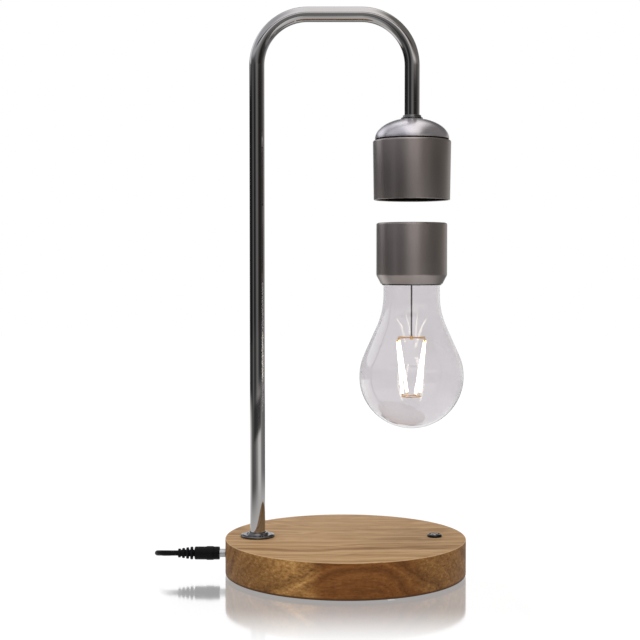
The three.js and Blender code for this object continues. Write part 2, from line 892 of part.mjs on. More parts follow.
function bulbCap() {
  const { radius, wall, bevelHeight, bevelInset, creaseInset, topBevel } = cap;
  const inner = radius - wall;
  const lidSeat = inner + lid.rebate;
  const neckHole = glass.neckRadius + seatGap;
  const crease = capBottom + bevelHeight;
  const shell = turned(
    [
      [neckHole, capBottom],
      [radius - bevelInset, capBottom],
      [radius - creaseInset - bevelInset / 4, crease - bevelHeight / 2],
      [radius - creaseInset, crease],
      [radius, crease + creaseInset],
      [radius, capTop - topBevel],
      [radius - topBevel, capTop],
      [lidSeat, capTop],
      [lidSeat, capTop - lid.thickness],
      [inner, capTop - lid.thickness],
      [inner, crease + wall],
      [neckHole, crease - wall],
    ],
    bulbFacets,
  );
  const lidGeometry = disc(lidSeat - seatGap, capTop - lid.thickness, capTop, bulbFacets);
  return [piece('bulb_cap', shell, finish.gunmetal), piece('bulb_cap_lid', lidGeometry, finish.gunmetal)];
}

function floatingMagnet() {
  const { radius, rimRound } = magnet;
  const outline = [
    [0, magnetBottom],
    [radius - rimRound, magnetBottom],
    [radius, magnetBottom + rimRound],
    [radius, magnetTop - rimRound],
    [radius - rimRound, magnetTop],
    [0, magnetTop],
  ];
  return piece('levitation_magnet', turned(outline, roundFacets), finish.steel);
}

function capInside() {
  const inside = cap.radius - cap.wall - seatGap;
  const coilTop = capTop - lid.thickness;
  const coilBottom = coilTop - receiver.thickness;
  const cupInner = magnet.radius + seatGap;
  const cupOuter = cupInner + magnetHolder.wall;
  const flangeBottom = coilBottom - magnetHolder.wall;
  const skirtInner = inside - magnetHolder.wall;
  const cup = turned(
    [
      [0, cupFloorBottom],
      [skirtInner, cupFloorBottom],
      [skirtInner, bulbBoardTop],
      [inside, bulbBoardTop],
      [inside, cupFloorTop],
      [cupOuter, cupFloorTop],
      [cupOuter, flangeBottom],
      [inside, flangeBottom],
      [inside, coilBottom],
      [cupInner, coilBottom],
      [cupInner, cupFloorTop],
      [0, cupFloorTop],
    ],
    roundFacets,
  );
  const neckInner = glass.neckRadius - glass.wall - seatGap;
  const rodHole = rod.radius + seatGap;
  const stopper = turned(
    [
      [rodHole, glassTop - neckPlug.depth],
      [neckInner, glassTop - neckPlug.depth],
      [neckInner, glassTop],
      [inside, glassTop],
      [inside, neckPlugTop],
      [rodHole, neckPlugTop],
    ],
    roundFacets,
  );
  const coilGeometry = ring(inside - receiver.width, inside, coilBottom, coilTop, roundFacets);
  return [
    piece('receiver_coil', coilGeometry, finish.copper),
    piece('magnet_holder', cup, finish.whitePlastic),
    piece('bulb_board', disc(inside, neckPlugTop, bulbBoardTop, roundFacets), finish.circuit),
    piece('neck_plug', stopper, finish.blackPlastic),
  ];
}

// Glass: a ball, a straight cone that leaves it smoothly, a hollow shoulder and a straight neck

function glassOutline(inset) {
  const ball = glass.radius - inset;
  const shoulder = glass.shoulderRadius + inset;
  const neck = glass.neckRadius - inset;
  const lean = Math.atan(glass.coneSlope);
  const coneStartRadius = ball * Math.cos(lean);
  const coneStartHeight = glassCentre + ball * Math.sin(lean);
  const coneEndRadius = neck + shoulder * (1 - Math.cos(lean));
  const coneEndHeight = coneStartHeight + (coneStartRadius - coneEndRadius) / glass.coneSlope;
  const shoulderCentreHeight = coneEndHeight + shoulder * Math.sin(lean);
  const ballSteps = 10;
  const shoulderSteps = 3;
  const ballArc = arc(0, glassCentre, ball, ball, -Math.PI / 2, lean, ballSteps).slice(1);
  const hollow = arc(
    neck + shoulder,
    shoulderCentreHeight,
    shoulder,
    shoulder,
    Math.PI + lean,
    Math.PI,
    shoulderSteps,
  );
  return [[0, glassCentre - ball], ...ballArc, ...hollow, [neck, glassTop]];
}

function glassBulb() {
  const outline = [...glassOutline(0), ...glassOutline(glass.wall).reverse()];
  return piece('glass_bulb', turned(outline, bulbFacets), finish.glass);
}

// Rod, the wire cross that carries the filaments, the filaments and the ring that joins their ends

function rodAndWires() {
  const rodTop = glassTop;
  const hubTop = rodBottom + wire.hubHeight;
  const armHeight = rodBottom + wire.hubHeight / 2;
  const arms = placesOnCircle(filament.count, filament.topReach / 2, filament.topTurn).map(([x, y]) => {
    const arm = new THREE.CylinderGeometry(wire.radius, wire.radius, filament.topReach, wireFacets);
    return arm.rotateZ(Math.PI / 2).rotateZ(Math.atan2(y, x)).translate(x, y, armHeight);
  });
  const hub = disc(wire.hubRadius, rodBottom, hubTop, smallFacets);
  const cross = cut(join(hub, ...arms), disc(rod.radius + seatGap, armHeight, glassTop, smallFacets));
  const rodGeometry = disc(rod.radius, armHeight + seatGap, rodTop, wireFacets);
  const endRise = filamentEndRise();
  const filamentTop = armHeight - wire.radius - seatGap - endRise;
  const ringHeight = filamentTop - filament.drop - endRise - wire.radius - seatGap;
  const loop = new THREE.TorusGeometry(filament.bottomReach, wire.radius, wireFacets, roundFacets);
  return [
    piece('support_rod', rodGeometry, finish.darkWire),
    piece('filament_cross', cross, finish.brassWire),
    piece('filament_ring', closedGeometry(loop.translate(0, 0, ringHeight)), finish.brassWire),
    ...filaments(filamentTop),
  ];
}

// How far the edge of a leaning filament's end stands above the middle of that end

function filamentEndRise() {
  const { topReach, bottomReach, topTurn, bottomTurn } = filament;
  const between = 2 * topReach * bottomReach * Math.cos(topTurn - bottomTurn);
  const shift = Math.sqrt(topReach ** 2 + bottomReach ** 2 - between);
  return (filament.radius * shift) / filament.drop;
}

function filaments(top) {
  const tops = placesOnCircle(filament.count, filament.topReach, filament.topTurn);
  const bottoms = placesOnCircle(filament.count, filament.bottomReach, filament.bottomTurn);
  return tops.map(([x, y], index) => {
    const [endX, endY] = bottoms[index];
    const upper = new THREE.Vector3(x, y, top);
    const lower = new THREE.Vector3(endX, endY, top - filament.drop);
    const geometry = disc(filament.radius, 0, upper.distanceTo(lower), smallFacets);
    const mesh = piece(`led_filament_${index + 1}`, geometry, finish.phosphor);
    const direction = upper.clone().sub(lower).normalize();
    mesh.quaternion.setFromUnitVectors(new THREE.Vector3(0, 0, 1), direction);
    return placed(mesh, lower.x, lower.y, lower.z);
  });
}

// Plug: barrel, moulded body and ribbed strain relief, built along +Z away from the socket

function plugPieces() {
  const bodyStart = plug.barrelOutside;
  const bodyEnd = bodyStart + plug.bodyLength;
  const { barrelRadius, barrelBoreRadius, bodyRadius, gripRadius, noseBevel, rearBevel } = plug;
  const barrel = turned(
    [
      [0, bodyStart - overrun],
      [barrelBoreRadius, bodyStart - overrun],
      [barrelBoreRadius, -plug.barrelInside],
      [barrelRadius, -plug.barrelInside],
      [barrelRadius, bodyStart],
      [0, bodyStart],
    ],
    roundFacets,
  );
  const gripFrom = bodyStart + plug.gripSetback;
  const gripTo = gripFrom + plug.gripLength;
  const gripRise = gripRadius - bodyRadius;
  const body = turned(
    [
      [0, bodyStart],
      [bodyRadius - noseBevel, bodyStart],
      [bodyRadius, bodyStart + noseBevel],
      [bodyRadius, gripFrom],
      [gripRadius, gripFrom + gripRise],
      [gripRadius, gripTo - gripRise],
      [bodyRadius, gripTo],
      [bodyRadius, bodyEnd - rearBevel],
      [bodyRadius - rearBevel / 2, bodyEnd],
      [0, bodyEnd],
    ],
    roundFacets,
  );
  return [
    piece('plug_barrel', barrel, finish.steel),
    piece('plug_body', body, finish.blackPlastic),
    placed(piece('strain_relief', strainRelief(), finish.blackPlastic), 0, 0, bodyEnd),
  ];
}

// Ribs that get smaller towards the cord, each behind a groove that reaches down to the sleeve round it

function strainRelief() {
  const { reliefLength, reliefFrontRadius, reliefRearRadius, reliefRibs, reliefRibShare } = plug;
  const sleeveRadius = cordRadius + plug.reliefWall;
  const ribPitch = reliefLength / reliefRibs;
  const outline = [[0, 0], [sleeveRadius, 0]];
  for (let rib = 0; rib < reliefRibs; rib += 1) {
    const share = rib / (reliefRibs - 1);
    const radius = reliefFrontRadius + (reliefRearRadius - reliefFrontRadius) * share;
    const ribEnd = (rib + 1) * ribPitch;
    const ribStart = ribEnd - ribPitch * reliefRibShare;
    outline.push([sleeveRadius, ribStart], [radius, ribStart], [radius, ribEnd], [sleeveRadius, ribEnd]);
  }
  outline.push([0, reliefLength]);
  return turned(outline, smallFacets);
}

function lyingPlug() {
  const lying = group(...plugPieces());
  lying.rotation.y = -Math.PI / 2;
  return placed(lying, -base.radius, 0, socketHeight);
}

// Free stretches of the cord along the points chosen above

function cordStretch(name, route) {
  const points = route.map(([x, y, z]) => new THREE.Vector3(x, y, z));
  const path = new THREE.CatmullRomCurve3(points, false, 'centripetal');
  const steps = Math.round(path.getLength() / leadStep);
  const section = new THREE.Shape(polygon(cordRadius, cordSides));
  return piece(name, sweep(section, path, steps), finish.cable);
}

// Coil of two layers: it spirals in on the floor, climbs in the half turn where it reverses, and
// spirals out on top. Both ends run straight for one cord diameter.

function coilPoints() {
  const { outerRadius, pitch, turns, climbTurns, stepsPerTurn } = coil;
  const steps = turns * stepsPerTurn;
  const points = [new THREE.Vector3(-2 * cordRadius, -outerRadius, cordRadius)];
  for (let step = 0; step <= steps; step += 1) {
    const turn = step / stepsPerTurn;
    const fromReversal = turn - turns / 2;
    const radius = outerRadius - pitch * (turns / 2 - Math.abs(fromReversal));
    const angle = 2 * Math.PI * turn - Math.PI / 2;
    const climbShare = THREE.MathUtils.smoothstep(fromReversal, -climbTurns / 2, climbTurns / 2);
    const height = cordRadius + pitch * climbShare;
    points.push(new THREE.Vector3(radius * Math.cos(angle), radius * Math.sin(angle), height));
  }
  points.push(new THREE.Vector3(2 * cordRadius, -outerRadius, cordRadius + pitch));
  printLeastGap(points, (outerRadius - (pitch * turns) / 2) * Math.PI);
  return points;
}

// The least distance between stretches of the coil that are more than half an inner turn apart

function printLeastGap(points, leastReach) {
  const along = [0];
  for (let index = 1; index < points.length; index += 1) {
    along.push(along[index - 1] + points[index].distanceTo(points[index - 1]));
  }
  let least = Infinity;
  for (let first = 0; first < points.length; first += 1) {
    for (let second = first + 1; second < points.length; second += 1) {
      const apart = along[second] - along[first] > leastReach;
      if (apart) least = Math.min(least, points[first].distanceTo(points[second]));
    }
  }
  console.log(`cord coil: least gap to itself ${(least - 2 * cordRadius).toFixed(2)}`);
}

function cordCoil() {
  const points = coilPoints();
  const last = points.length - 1;
  const stations = points.map((point, index) => {
    const before = points[Math.max(index - 1, 0)];
    const after = points[Math.min(index + 1, last)];
    const tangent = after.clone().sub(before).normalize();
    const atEnd = index <= 1 || index >= last - 1;
    return { point, tangent: atEnd ? new THREE.Vector3(1, 0, 0) : tangent };
  });
  const section = new THREE.Shape(polygon(cordRadius, coil.sides));
  const mesh = piece('cord_coil', sweepStations(section, stations), finish.cable);
  return placed(mesh, coil.x, coil.y, 0);
}

// Plug at the far end of the cord, lying beside the coil

function farPlug() {
  const [startX, startY, startZ] = tailRoute.at(-1);
  const { housingLength, housingWidth, housingHeight, housingRound } = usb;
  const { shellLength, shellWidth, shellHeight, shellWall } = usb;
  const housing = plate(roundedRectangle(housingHeight, housingWidth, housingRound), 0, housingLength);
  const shellShape = new THREE.Shape(cornersOfRectangle(shellHeight, shellWidth));
  const innerHeight = shellHeight - 2 * shellWall;
  const innerWidth = shellWidth - 2 * shellWall;
  shellShape.holes.push(new THREE.Path(cornersOfRectangle(innerHeight, innerWidth)));
  const shellEnd = housingLength + shellLength;
  const tongue = box(usb.tongueHeight, innerWidth, housingLength, shellEnd - overrun);
  const back = box(shellHeight, shellWidth, housingLength, housingLength + overrun);
  const tongueCentre = (usb.tongueHeight - innerHeight) / 2;
  const shell = join(plate(shellShape, housingLength, shellEnd), back, tongue.translate(tongueCentre, 0, 0));
  const lying = group(
    piece('far_plug_housing', housing, finish.blackPlastic),
    piece('far_plug_shell', shell, finish.steel),
  );
  lying.rotation.y = Math.PI / 2;
  return placed(lying, startX + seatGap, startY, startZ);
}

function cornersOfRectangle(length, width) {
  const x = length / 2;
  const y = width / 2;
  const corners = [[-x, -y], [x, -y], [x, y], [-x, y]];
  return corners.map(([cornerX, cornerY]) => new THREE.Vector2(cornerX, cornerY));
}

// The whole lamp

const baseGroup = group(
  woodBase(),
  baseCover(),
  ...feet(),
  ...coverScrews(),
  mainBoard(),
  ...boardScrews(),
  ...chargingCoil(),
  powerSocket(),
  pushButton(),
);
const holderGroup = group(...holderShells(), ...holderFasteners(), ...holderInside());
const bulbGroup = group(
  ...bulbCap(),
  floatingMagnet(),
  ...capInside(),
  glassBulb(),
  ...rodAndWires(),
);
const cordGroup = group(
  lyingPlug(),
  cordStretch('cord_lead', leadRoute),
  cordCoil(),
  cordStretch('cord_tail', tailRoute),
  farPlug(),
);
const hanging = placed(group(holderGroup, bulbGroup), tubeDropX, 0, 0);

export default group(baseGroup, ...stand(), hanging, cordGroup);
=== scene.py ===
# Looks of the levitating lamp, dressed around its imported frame.
# Lengths are written in millimetres and turned into metres by MM.

import json
import math

import bmesh
import bpy
from mathutils import Matrix, Vector


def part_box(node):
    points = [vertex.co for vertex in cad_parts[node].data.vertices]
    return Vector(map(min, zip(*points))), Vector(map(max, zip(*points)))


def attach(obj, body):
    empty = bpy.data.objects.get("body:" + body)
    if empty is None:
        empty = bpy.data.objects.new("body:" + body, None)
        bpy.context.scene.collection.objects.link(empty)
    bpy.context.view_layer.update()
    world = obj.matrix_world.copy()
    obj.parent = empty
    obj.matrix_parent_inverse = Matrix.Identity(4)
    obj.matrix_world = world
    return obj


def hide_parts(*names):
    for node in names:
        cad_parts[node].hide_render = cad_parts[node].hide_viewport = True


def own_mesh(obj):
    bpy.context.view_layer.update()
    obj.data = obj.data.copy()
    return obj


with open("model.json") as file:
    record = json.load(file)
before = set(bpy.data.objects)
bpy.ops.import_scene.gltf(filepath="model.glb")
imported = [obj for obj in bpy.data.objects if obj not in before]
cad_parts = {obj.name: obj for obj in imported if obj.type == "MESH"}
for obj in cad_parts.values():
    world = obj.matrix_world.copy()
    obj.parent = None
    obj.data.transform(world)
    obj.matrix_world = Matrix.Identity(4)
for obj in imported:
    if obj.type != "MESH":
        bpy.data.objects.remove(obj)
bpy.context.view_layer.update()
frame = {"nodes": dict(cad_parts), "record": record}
MM = 0.001
# Facets round the large, the middling, the small and the thinnest round pieces
FINE = 160
ROUND = 96
SMALL = 48
THIN = 20
SHARP_ANGLE = math.radians(32)
# Points closer than this, in metres, are one
SAME_PLACE = 1e-7


# Places and sizes taken from the frame

def low(node):
    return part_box(node)[0]


def high(node):
    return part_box(node)[1]


def middle(node):
    return (low(node) + high(node)) / 2


BULB_AXIS = Vector((middle("holder_skirt").x, 0, 0))
FOOT_AXIS = Vector((middle("stand_collar").x, 0, 0))
BUTTON_AXIS = Vector((middle("button_body").x, 0, 0))
SOCKET = Vector((low("wood_base").x, 0, middle("plug_barrel").z))
TUBE_RADIUS = high("stand_tube").y / MM
# Between a piece and the hole that it sits in
PLAY = 0.3
TUBE_HOLE = TUBE_RADIUS + PLAY


# Camera, where the photograph was taken from

CAMERA_PLACE = Vector((-17.0, -887, 205)) * MM
CAMERA_PITCH = math.radians(2.31)
CAMERA_ROLL = 0.0
CAMERA_LENS = 75.25


def make_camera():
    camera = bpy.data.objects.new("camera", bpy.data.cameras.new("camera"))
    camera.data.lens = CAMERA_LENS
    camera.data.clip_start = 0.01
    camera.data.clip_end = 20
    camera.location = CAMERA_PLACE
    camera.rotation_euler = (math.pi / 2 - CAMERA_PITCH, CAMERA_ROLL, 0)
    bpy.context.collection.objects.link(camera)
    bpy.context.scene.camera = camera


# Cord: out of the plug, back and down to the floor, round the back of the base, wound into a coil

CORD_DIAMETER = 3.5 * MM
CORD_RADIUS = CORD_DIAMETER / 2
CORD_BEVEL = 5
# Steps of the smooth line between two points of a route, and of the coil
ROUTE_STEPS = 4
COIL_SMOOTHING = 3
LEAD_ROUTE = [
    (-111.7, 0, 13.4),
    (-115.5, 0, 13.4),
    (-119, 0.4, 13.35),
    (-123.2, 2.6, 12.9),
    (-126.2, 7.2, 11.9),
    (-127.2, 14, 10.4),
    (-127.2, 22, 8.6),
    (-127.2, 30, 6.9),
    (-127.2, 38, 5.1),
    (-126.4, 44.6, 3.5),
    (-123.4, 50.4, 2.3),
    (-118.2, 53.8, 1.8),
    (-111.5, 54.6, 1.75),
    (-103, 54.6, 1.75),
    (-94, 55.4, 1.75),
    (-84.5, 58.2, 1.75),
    (-74.5, 63, 1.75),
    (-63.5, 69, 1.75),
    (-51, 75.4, 1.75),
    (-38, 80.8, 1.75),
    (-27, 83.3, 1.75),
    (-20, 83.5, 1.75),
    (-13.8, 83.5, 1.75),
]
TAIL_ROUTE = [
    (-6.2, 83.5, 5.75),
    (-2, 83.5, 5.75),
    (4, 83.8, 5.3),
    (12, 84.9, 3.9),
    (20, 86.8, 2.6),
    (27, 88.5, 2.5),
    (33, 89.4, 3.4),
    (38, 89.5, 4),
    (42.3, 89.5, 4),
]
COIL_CENTRE = Vector((-10, 113, 0)) * MM
COIL_OUTER = 29.5 * MM
COIL_PITCH = 4 * MM
COIL_TURNS = 9
# The climb from the lower to the upper layer, in turns
COIL_CLIMB = 0.5
# Points on one turn of a coil
COIL_STEPS = 24


def coil_points():
    """Inwards in the lower layer, up at the inner turn and outwards again in the upper layer."""
    points = []
    for step in range(COIL_TURNS * COIL_STEPS + 1):
        turn = step / COIL_STEPS
        from_reversal = turn - COIL_TURNS / 2
        radius = COIL_OUTER - COIL_PITCH * (COIL_TURNS / 2 - abs(from_reversal))
        angle = 2 * math.pi * turn - math.pi / 2
        climb = min(max(from_reversal / COIL_CLIMB + 0.5, 0), 1)
        height = CORD_RADIUS + COIL_PITCH * climb * climb * (3 - 2 * climb)
        place = Vector((radius * math.cos(angle), radius * math.sin(angle), height))
        points.append(COIL_CENTRE + place)
    return points


def smooth_line(points, steps):
    """Points of a centripetal Catmull-Rom line through the given ones, with both ends."""
    ghosts = [2 * points[0] - points[1], *points, 2 * points[-1] - points[-2]]
    line = [points[0]]
    for a, b, c, d in zip(ghosts, ghosts[1:], ghosts[2:], ghosts[3:]):
        t1 = math.sqrt((b - a).length)
        t2 = t1 + math.sqrt((c - b).length)
        t3 = t2 + math.sqrt((d - c).length)
        for step in range(1, steps + 1):
            t = t1 + (t2 - t1) * step / steps
            ab = (a * (t1 - t) + b * t) / t1
            bc = (b * (t2 - t) + c * (t - t1)) / (t2 - t1)
            cd = (c * (t3 - t) + d * (t - t2)) / (t3 - t2)
            abc = (ab * (t2 - t) + bc * t) / t2
            bcd = (bc * (t3 - t) + cd * (t - t1)) / (t3 - t1)
            line.append((abc * (t2 - t) + bcd * (t - t1)) / (t2 - t1))
    return line


def line_length(points):
    return sum((b - a).length for a, b in zip(points, points[1:]))


def make_cord():
    """The cord as a curve, and its length in metres."""
    lead = smooth_line([Vector(p) * MM for p in LEAD_ROUTE], ROUTE_STEPS)
    tail = smooth_line([Vector(p) * MM for p in TAIL_ROUTE], ROUTE_STEPS)
    line = [*lead, *smooth_line(coil_points(), COIL_SMOOTHING), *tail]
    curve = bpy.data.curves.new("cord", "CURVE")
    curve.dimensions = "3D"
    curve.bevel_depth = CORD_RADIUS
    curve.bevel_resolution = CORD_BEVEL
    spline = curve.splines.new("POLY")
    spline.points.add(len(line) - 1)
    for point, place in zip(spline.points, line):
        point.co = (*place, 1)
    spline.use_smooth = True
    cord = bpy.data.objects.new("cord", curve)
    bpy.context.collection.objects.link(cord)
    return cord, line_length(line)


# Mesh builders

# Steps of a rounding, and of one on a very small piece
ARC_STEPS = 4
SMALL_ARC_STEPS = 3


def keep_mesh(name, maker, material, smooth=True):
    """Turns what was built into a piece with its faces outwards."""
    mesh = bpy.data.meshes.new(name)
    bmesh.ops.remove_doubles(maker, verts=maker.verts, dist=SAME_PLACE)
    bmesh.ops.recalc_face_normals(maker, faces=maker.faces)
    maker.to_mesh(mesh)
    maker.free()
    if smooth:
        mesh.polygons.foreach_set("use_smooth", [True] * len(mesh.polygons))
        mesh.set_sharp_from_angle(angle=SHARP_ANGLE)
    mesh.materials.append(material)
    piece = bpy.data.objects.new(name, mesh)
    bpy.context.collection.objects.link(piece)
    return piece


def rounded(corners, steps=ARC_STEPS):
    """An outline of (radius, height, rounding) corners in millimetres, with arcs for roundings."""
    outline = []
    count = len(corners)
    for index, (x, y, rounding) in enumerate(corners):
        corner = Vector((x, y))
        if not rounding:
            outline.append(corner)
            continue
        before = (Vector(corners[index - 1][:2]) - corner).normalized()
        after = (Vector(corners[(index + 1) % count][:2]) - corner).normalized()
        half = before.angle(after) / 2
        reach = rounding / math.tan(half)
        centre = corner + (before + after).normalized() * (rounding / math.sin(half))
        start = corner + before * reach - centre
        turn = start.angle_signed(corner + after * reach - centre)
        for step in range(steps + 1):
            part = Matrix.Rotation(-turn * step / steps, 2) @ start
            outline.append(centre + part)
    return outline


def turned(name, outline, material, axis=Vector(), facets=ROUND):
    """A solid of revolution about a vertical axis. A point on the axis closes the solid there."""
    maker = bmesh.new()
    rings = []
    for point in outline:
        radius, height = point[0] * MM, point[1] * MM
        if radius == 0:
            rings.append([maker.verts.new((axis.x, axis.y, height))])
            continue
        ring = []
        for step in range(facets):
            angle = 2 * math.pi * step / facets
            across = axis.x + radius * math.cos(angle)
            deep = axis.y + radius * math.sin(angle)
            ring.append(maker.verts.new((across, deep, height)))
        rings.append(ring)
    closes = len(rings[0]) > 1
    pairs = list(zip(rings, rings[1:]))
    if closes:
        pairs.append((rings[-1], rings[0]))
    for lower, upper in pairs:
        join_rings(maker, lower, upper)
    return keep_mesh(name, maker, material)


def join_rings(maker, lower, upper):
    """Faces between two rings of points, one of which may be a single point."""
    count = max(len(lower), len(upper))
    for step in range(count):
        after = (step + 1) % count
        if len(lower) == 1:
            maker.faces.new((lower[0], upper[after], upper[step]))
        elif len(upper) == 1:
            maker.faces.new((lower[step], lower[after], upper[0]))
        else:
            maker.faces.new((lower[step], lower[after], upper[after], upper[step]))


def lay_along_x(piece, place, towards):
    """Turns a piece that was made about +Z so that +Z points along X, towards +1 or -1."""
    turn = Matrix.Rotation(math.radians(90 * towards), 4, "Y")
    piece.data.transform(Matrix.Translation(place) @ turn)
    piece.data.update()
    return piece


def tube_along(name, line, radius, material, sides, inner=0.0):
    """A rod along a line of points, or a tube with closed ends when its inner radius is given."""
    maker = bmesh.new()
    side = Vector((0, 1, 0))
    outer_rings, inner_rings = [], []
    for index, place in enumerate(line):
        before = line[max(index - 1, 0)]
        after = line[min(index + 1, len(line) - 1)]
        along = (after - before).normalized()
        other = along.cross(side).normalized()
        side = other.cross(along).normalized()
        for reach, rings in ((radius, outer_rings), (inner, inner_rings)):
            if not reach:
                continue
            ring = []
            for step in range(sides):
                angle = 2 * math.pi * step / sides
                outwards = side * math.cos(angle) + other * math.sin(angle)
                ring.append(maker.verts.new(place + reach * outwards))
            rings.append(ring)
    for rings in (outer_rings, inner_rings):
        for lower, upper in zip(rings, rings[1:]):
            join_rings(maker, lower, upper)
    for end in (0, -1):
        if inner_rings:
            join_rings(maker, outer_rings[end], inner_rings[end])
        else:
            maker.faces.new(outer_rings[end])
    return keep_mesh(name, maker, material)


def cut_out(piece, cutter):
    """Cuts the cutter out of the piece for good."""
    change = piece.modifiers.new("cut", "BOOLEAN")
    change.operation = "DIFFERENCE"
    change.solver = "EXACT"
    change.object = cutter
    bpy.context.view_layer.update()
    evaluated = piece.evaluated_get(bpy.context.evaluated_depsgraph_get())
    mesh = bpy.data.meshes.new_from_object(evaluated)
    piece.modifiers.clear()
    piece.data = mesh
    mesh.set_sharp_from_angle(angle=SHARP_ANGLE)
    bpy.data.objects.remove(cutter)


def arc_points(centre_x, centre_y, radius_x, radius_y, start, end, steps):
    """Points on an arc of an ellipse, with both ends."""
    return [
        (
            centre_x + radius_x * math.cos(start + (end - start) * step / steps),
            centre_y + radius_y * math.sin(start + (end - start) * step / steps),
        )
        for step in range(steps + 1)
    ]


# Material nodes

WHITE = (1.0, 1.0, 1.0)
# Every material by the name that it was made with, which is also the name of its slot
MATERIALS = {}


class Tree:
    """A small writer of shader nodes."""

    def __init__(self, tree):
        self.tree = tree

    def add(self, kind, **settings):
        node = self.tree.nodes.new(kind)
        for key, value in settings.items():
            setattr(node, key, value)
        return node

    def link(self, source, target):
        self.tree.links.new(source, target)

    def math(self, operation, first, second=None):
        node = self.add("ShaderNodeMath", operation=operation)
        for socket, given in zip(node.inputs, (first, second)):
            if given is None:
                continue
            if isinstance(given, (int, float)):
                socket.default_value = given
            else:
                self.link(given, socket)
        return node.outputs[0]

    def split(self, vector):
        node = self.add("ShaderNodeSeparateXYZ")
        self.link(vector, node.inputs[0])
        return node.outputs

    def noise(self, vector, scale, detail=4, roughness=0.55):
        node = self.add("ShaderNodeTexNoise")
        node.inputs["Scale"].default_value = scale
        node.inputs["Detail"].default_value = detail
        node.inputs["Roughness"].default_value = roughness
        self.link(vector, node.inputs["Vector"])
        return node.outputs["Fac"]

    def ramp(self, factor, *stops):
        node = self.add("ShaderNodeValToRGB")
        elements = node.color_ramp.elements
        while len(elements) < len(stops):
            elements.new(0.5)
        for element, (place, color) in zip(elements, stops):
            element.position = place
            element.color = (*color, 1)
        self.link(factor, node.inputs["Fac"])
        return node.outputs["Color"]

    def span(self, factor, low_value, high_value, start=0.0, end=1.0, easing="LINEAR"):
        """From one value to another while the factor goes from start to end."""
        node = self.add("ShaderNodeMapRange", interpolation_type=easing)
        given = {"From Min": start, "From Max": end, "To Min": low_value, "To Max": high_value}
        for name, number in given.items():
            node.inputs[name].default_value = number
        self.link(factor, node.inputs["Value"])
        return node.outputs["Result"]

    def step(self, factor, start, end):
        return self.span(factor, 0.0, 1.0, start, end, "SMOOTHSTEP")

    def mix(self, factor, first, second, blend_type="MIX"):
        node = self.add("ShaderNodeMix", data_type="RGBA", blend_type=blend_type)
        for name, given in (("Factor", factor), ("A", first), ("B", second)):
            wanted = "VALUE" if name == "Factor" else "RGBA"
            socket = [s for s in node.inputs if s.name == name and s.type == wanted][0]
            if isinstance(given, (int, float)):
                socket.default_value = given
            elif isinstance(given, tuple):
                socket.default_value = (*given, 1)
            else:
                self.link(given, socket)
        return [s for s in node.outputs if s.type == "RGBA"][0]


class Nodes(Tree):
    """The shader nodes of one material."""

    def __init__(self, name):
        self.material = bpy.data.materials.new(name)
        self.material.use_nodes = True
        MATERIALS[name] = self.material
        super().__init__(self.material.node_tree)
        self.shader = self.tree.nodes["Principled BSDF"]
        self.output = self.tree.nodes["Material Output"]

    def value(self, name, number):
        self.shader.inputs[name].default_value = number

    def place(self, scale=(1, 1, 1), turn=(0, 0, 0), move=(0, 0, 0)):
        """Object coordinates in metres, moved, turned and scaled."""
        coordinates = self.add("ShaderNodeTexCoord")
        mapping = self.add("ShaderNodeMapping")
        mapping.inputs["Location"].default_value = move
        mapping.inputs["Rotation"].default_value = turn
        mapping.inputs["Scale"].default_value = scale
        self.link(coordinates.outputs["Object"], mapping.inputs["Vector"])
        return mapping.outputs[0]

    def bump(self, height, strength, distance):
        node = self.add("ShaderNodeBump")
        node.inputs["Strength"].default_value = strength
        node.inputs["Distance"].default_value = distance
        self.link(height, node.inputs["Height"])
        self.link(node.outputs[0], self.shader.inputs["Normal"])

    def color(self, source):
        self.link(source, self.shader.inputs["Base Color"])

    def roughness(self, source):
        self.link(source, self.shader.inputs["Roughness"])


# How much coarser the broad unevenness of a surface is than its grain
BROAD = 12
GRAIN_STRENGTH = 0.25


def plain(
    name, color, roughness, metallic=0.0, grain_scale=400.0, spread=0.06, bump=0.0002, gloss=0.5
):
    """Metal, plastic or rubber with a fine uneven surface, its bump in millimetres."""
    nodes = Nodes(name)
    grain = nodes.noise(nodes.place(), grain_scale)
    broad = nodes.noise(nodes.place(), grain_scale / BROAD, detail=2)
    darker = tuple(channel * (1 - spread) for channel in color)
    lighter = tuple(min(channel * (1 + spread), 1) for channel in color)
    nodes.color(nodes.ramp(broad, (0.3, darker), (0.7, lighter)))
    nodes.roughness(nodes.span(grain, roughness * 0.85, roughness * 1.15))
    nodes.value("Metallic", metallic)
    nodes.value("Specular IOR Level", gloss)
    nodes.bump(grain, GRAIN_STRENGTH, bump * MM)
    return nodes.material


RING_SCALE = (30, 30, 2600)
SHEEN_SCALE = (60, 60, 15)


def satin_metal(name, color, roughness):
    """Turned metal: very fine rings round the vertical axis and a soft uneven sheen."""
    nodes = Nodes(name)
    rings = nodes.noise(nodes.place(scale=RING_SCALE), 1, detail=3)
    broad = nodes.noise(nodes.place(scale=SHEEN_SCALE), 1, detail=2)
    darker = tuple(channel * 0.9 for channel in color)
    lighter = tuple(min(channel * 1.08, 1) for channel in color)
    nodes.color(nodes.ramp(broad, (0.3, darker), (0.7, lighter)))
    nodes.roughness(nodes.span(rings, roughness * 0.85, roughness * 1.2))
    nodes.value("Metallic", 1.0)
    nodes.value("Anisotropic", 0.6)
    nodes.value("Anisotropic Rotation", 0.25)
    nodes.bump(rings, 0.12, 0.02 * MM)
    return nodes.material


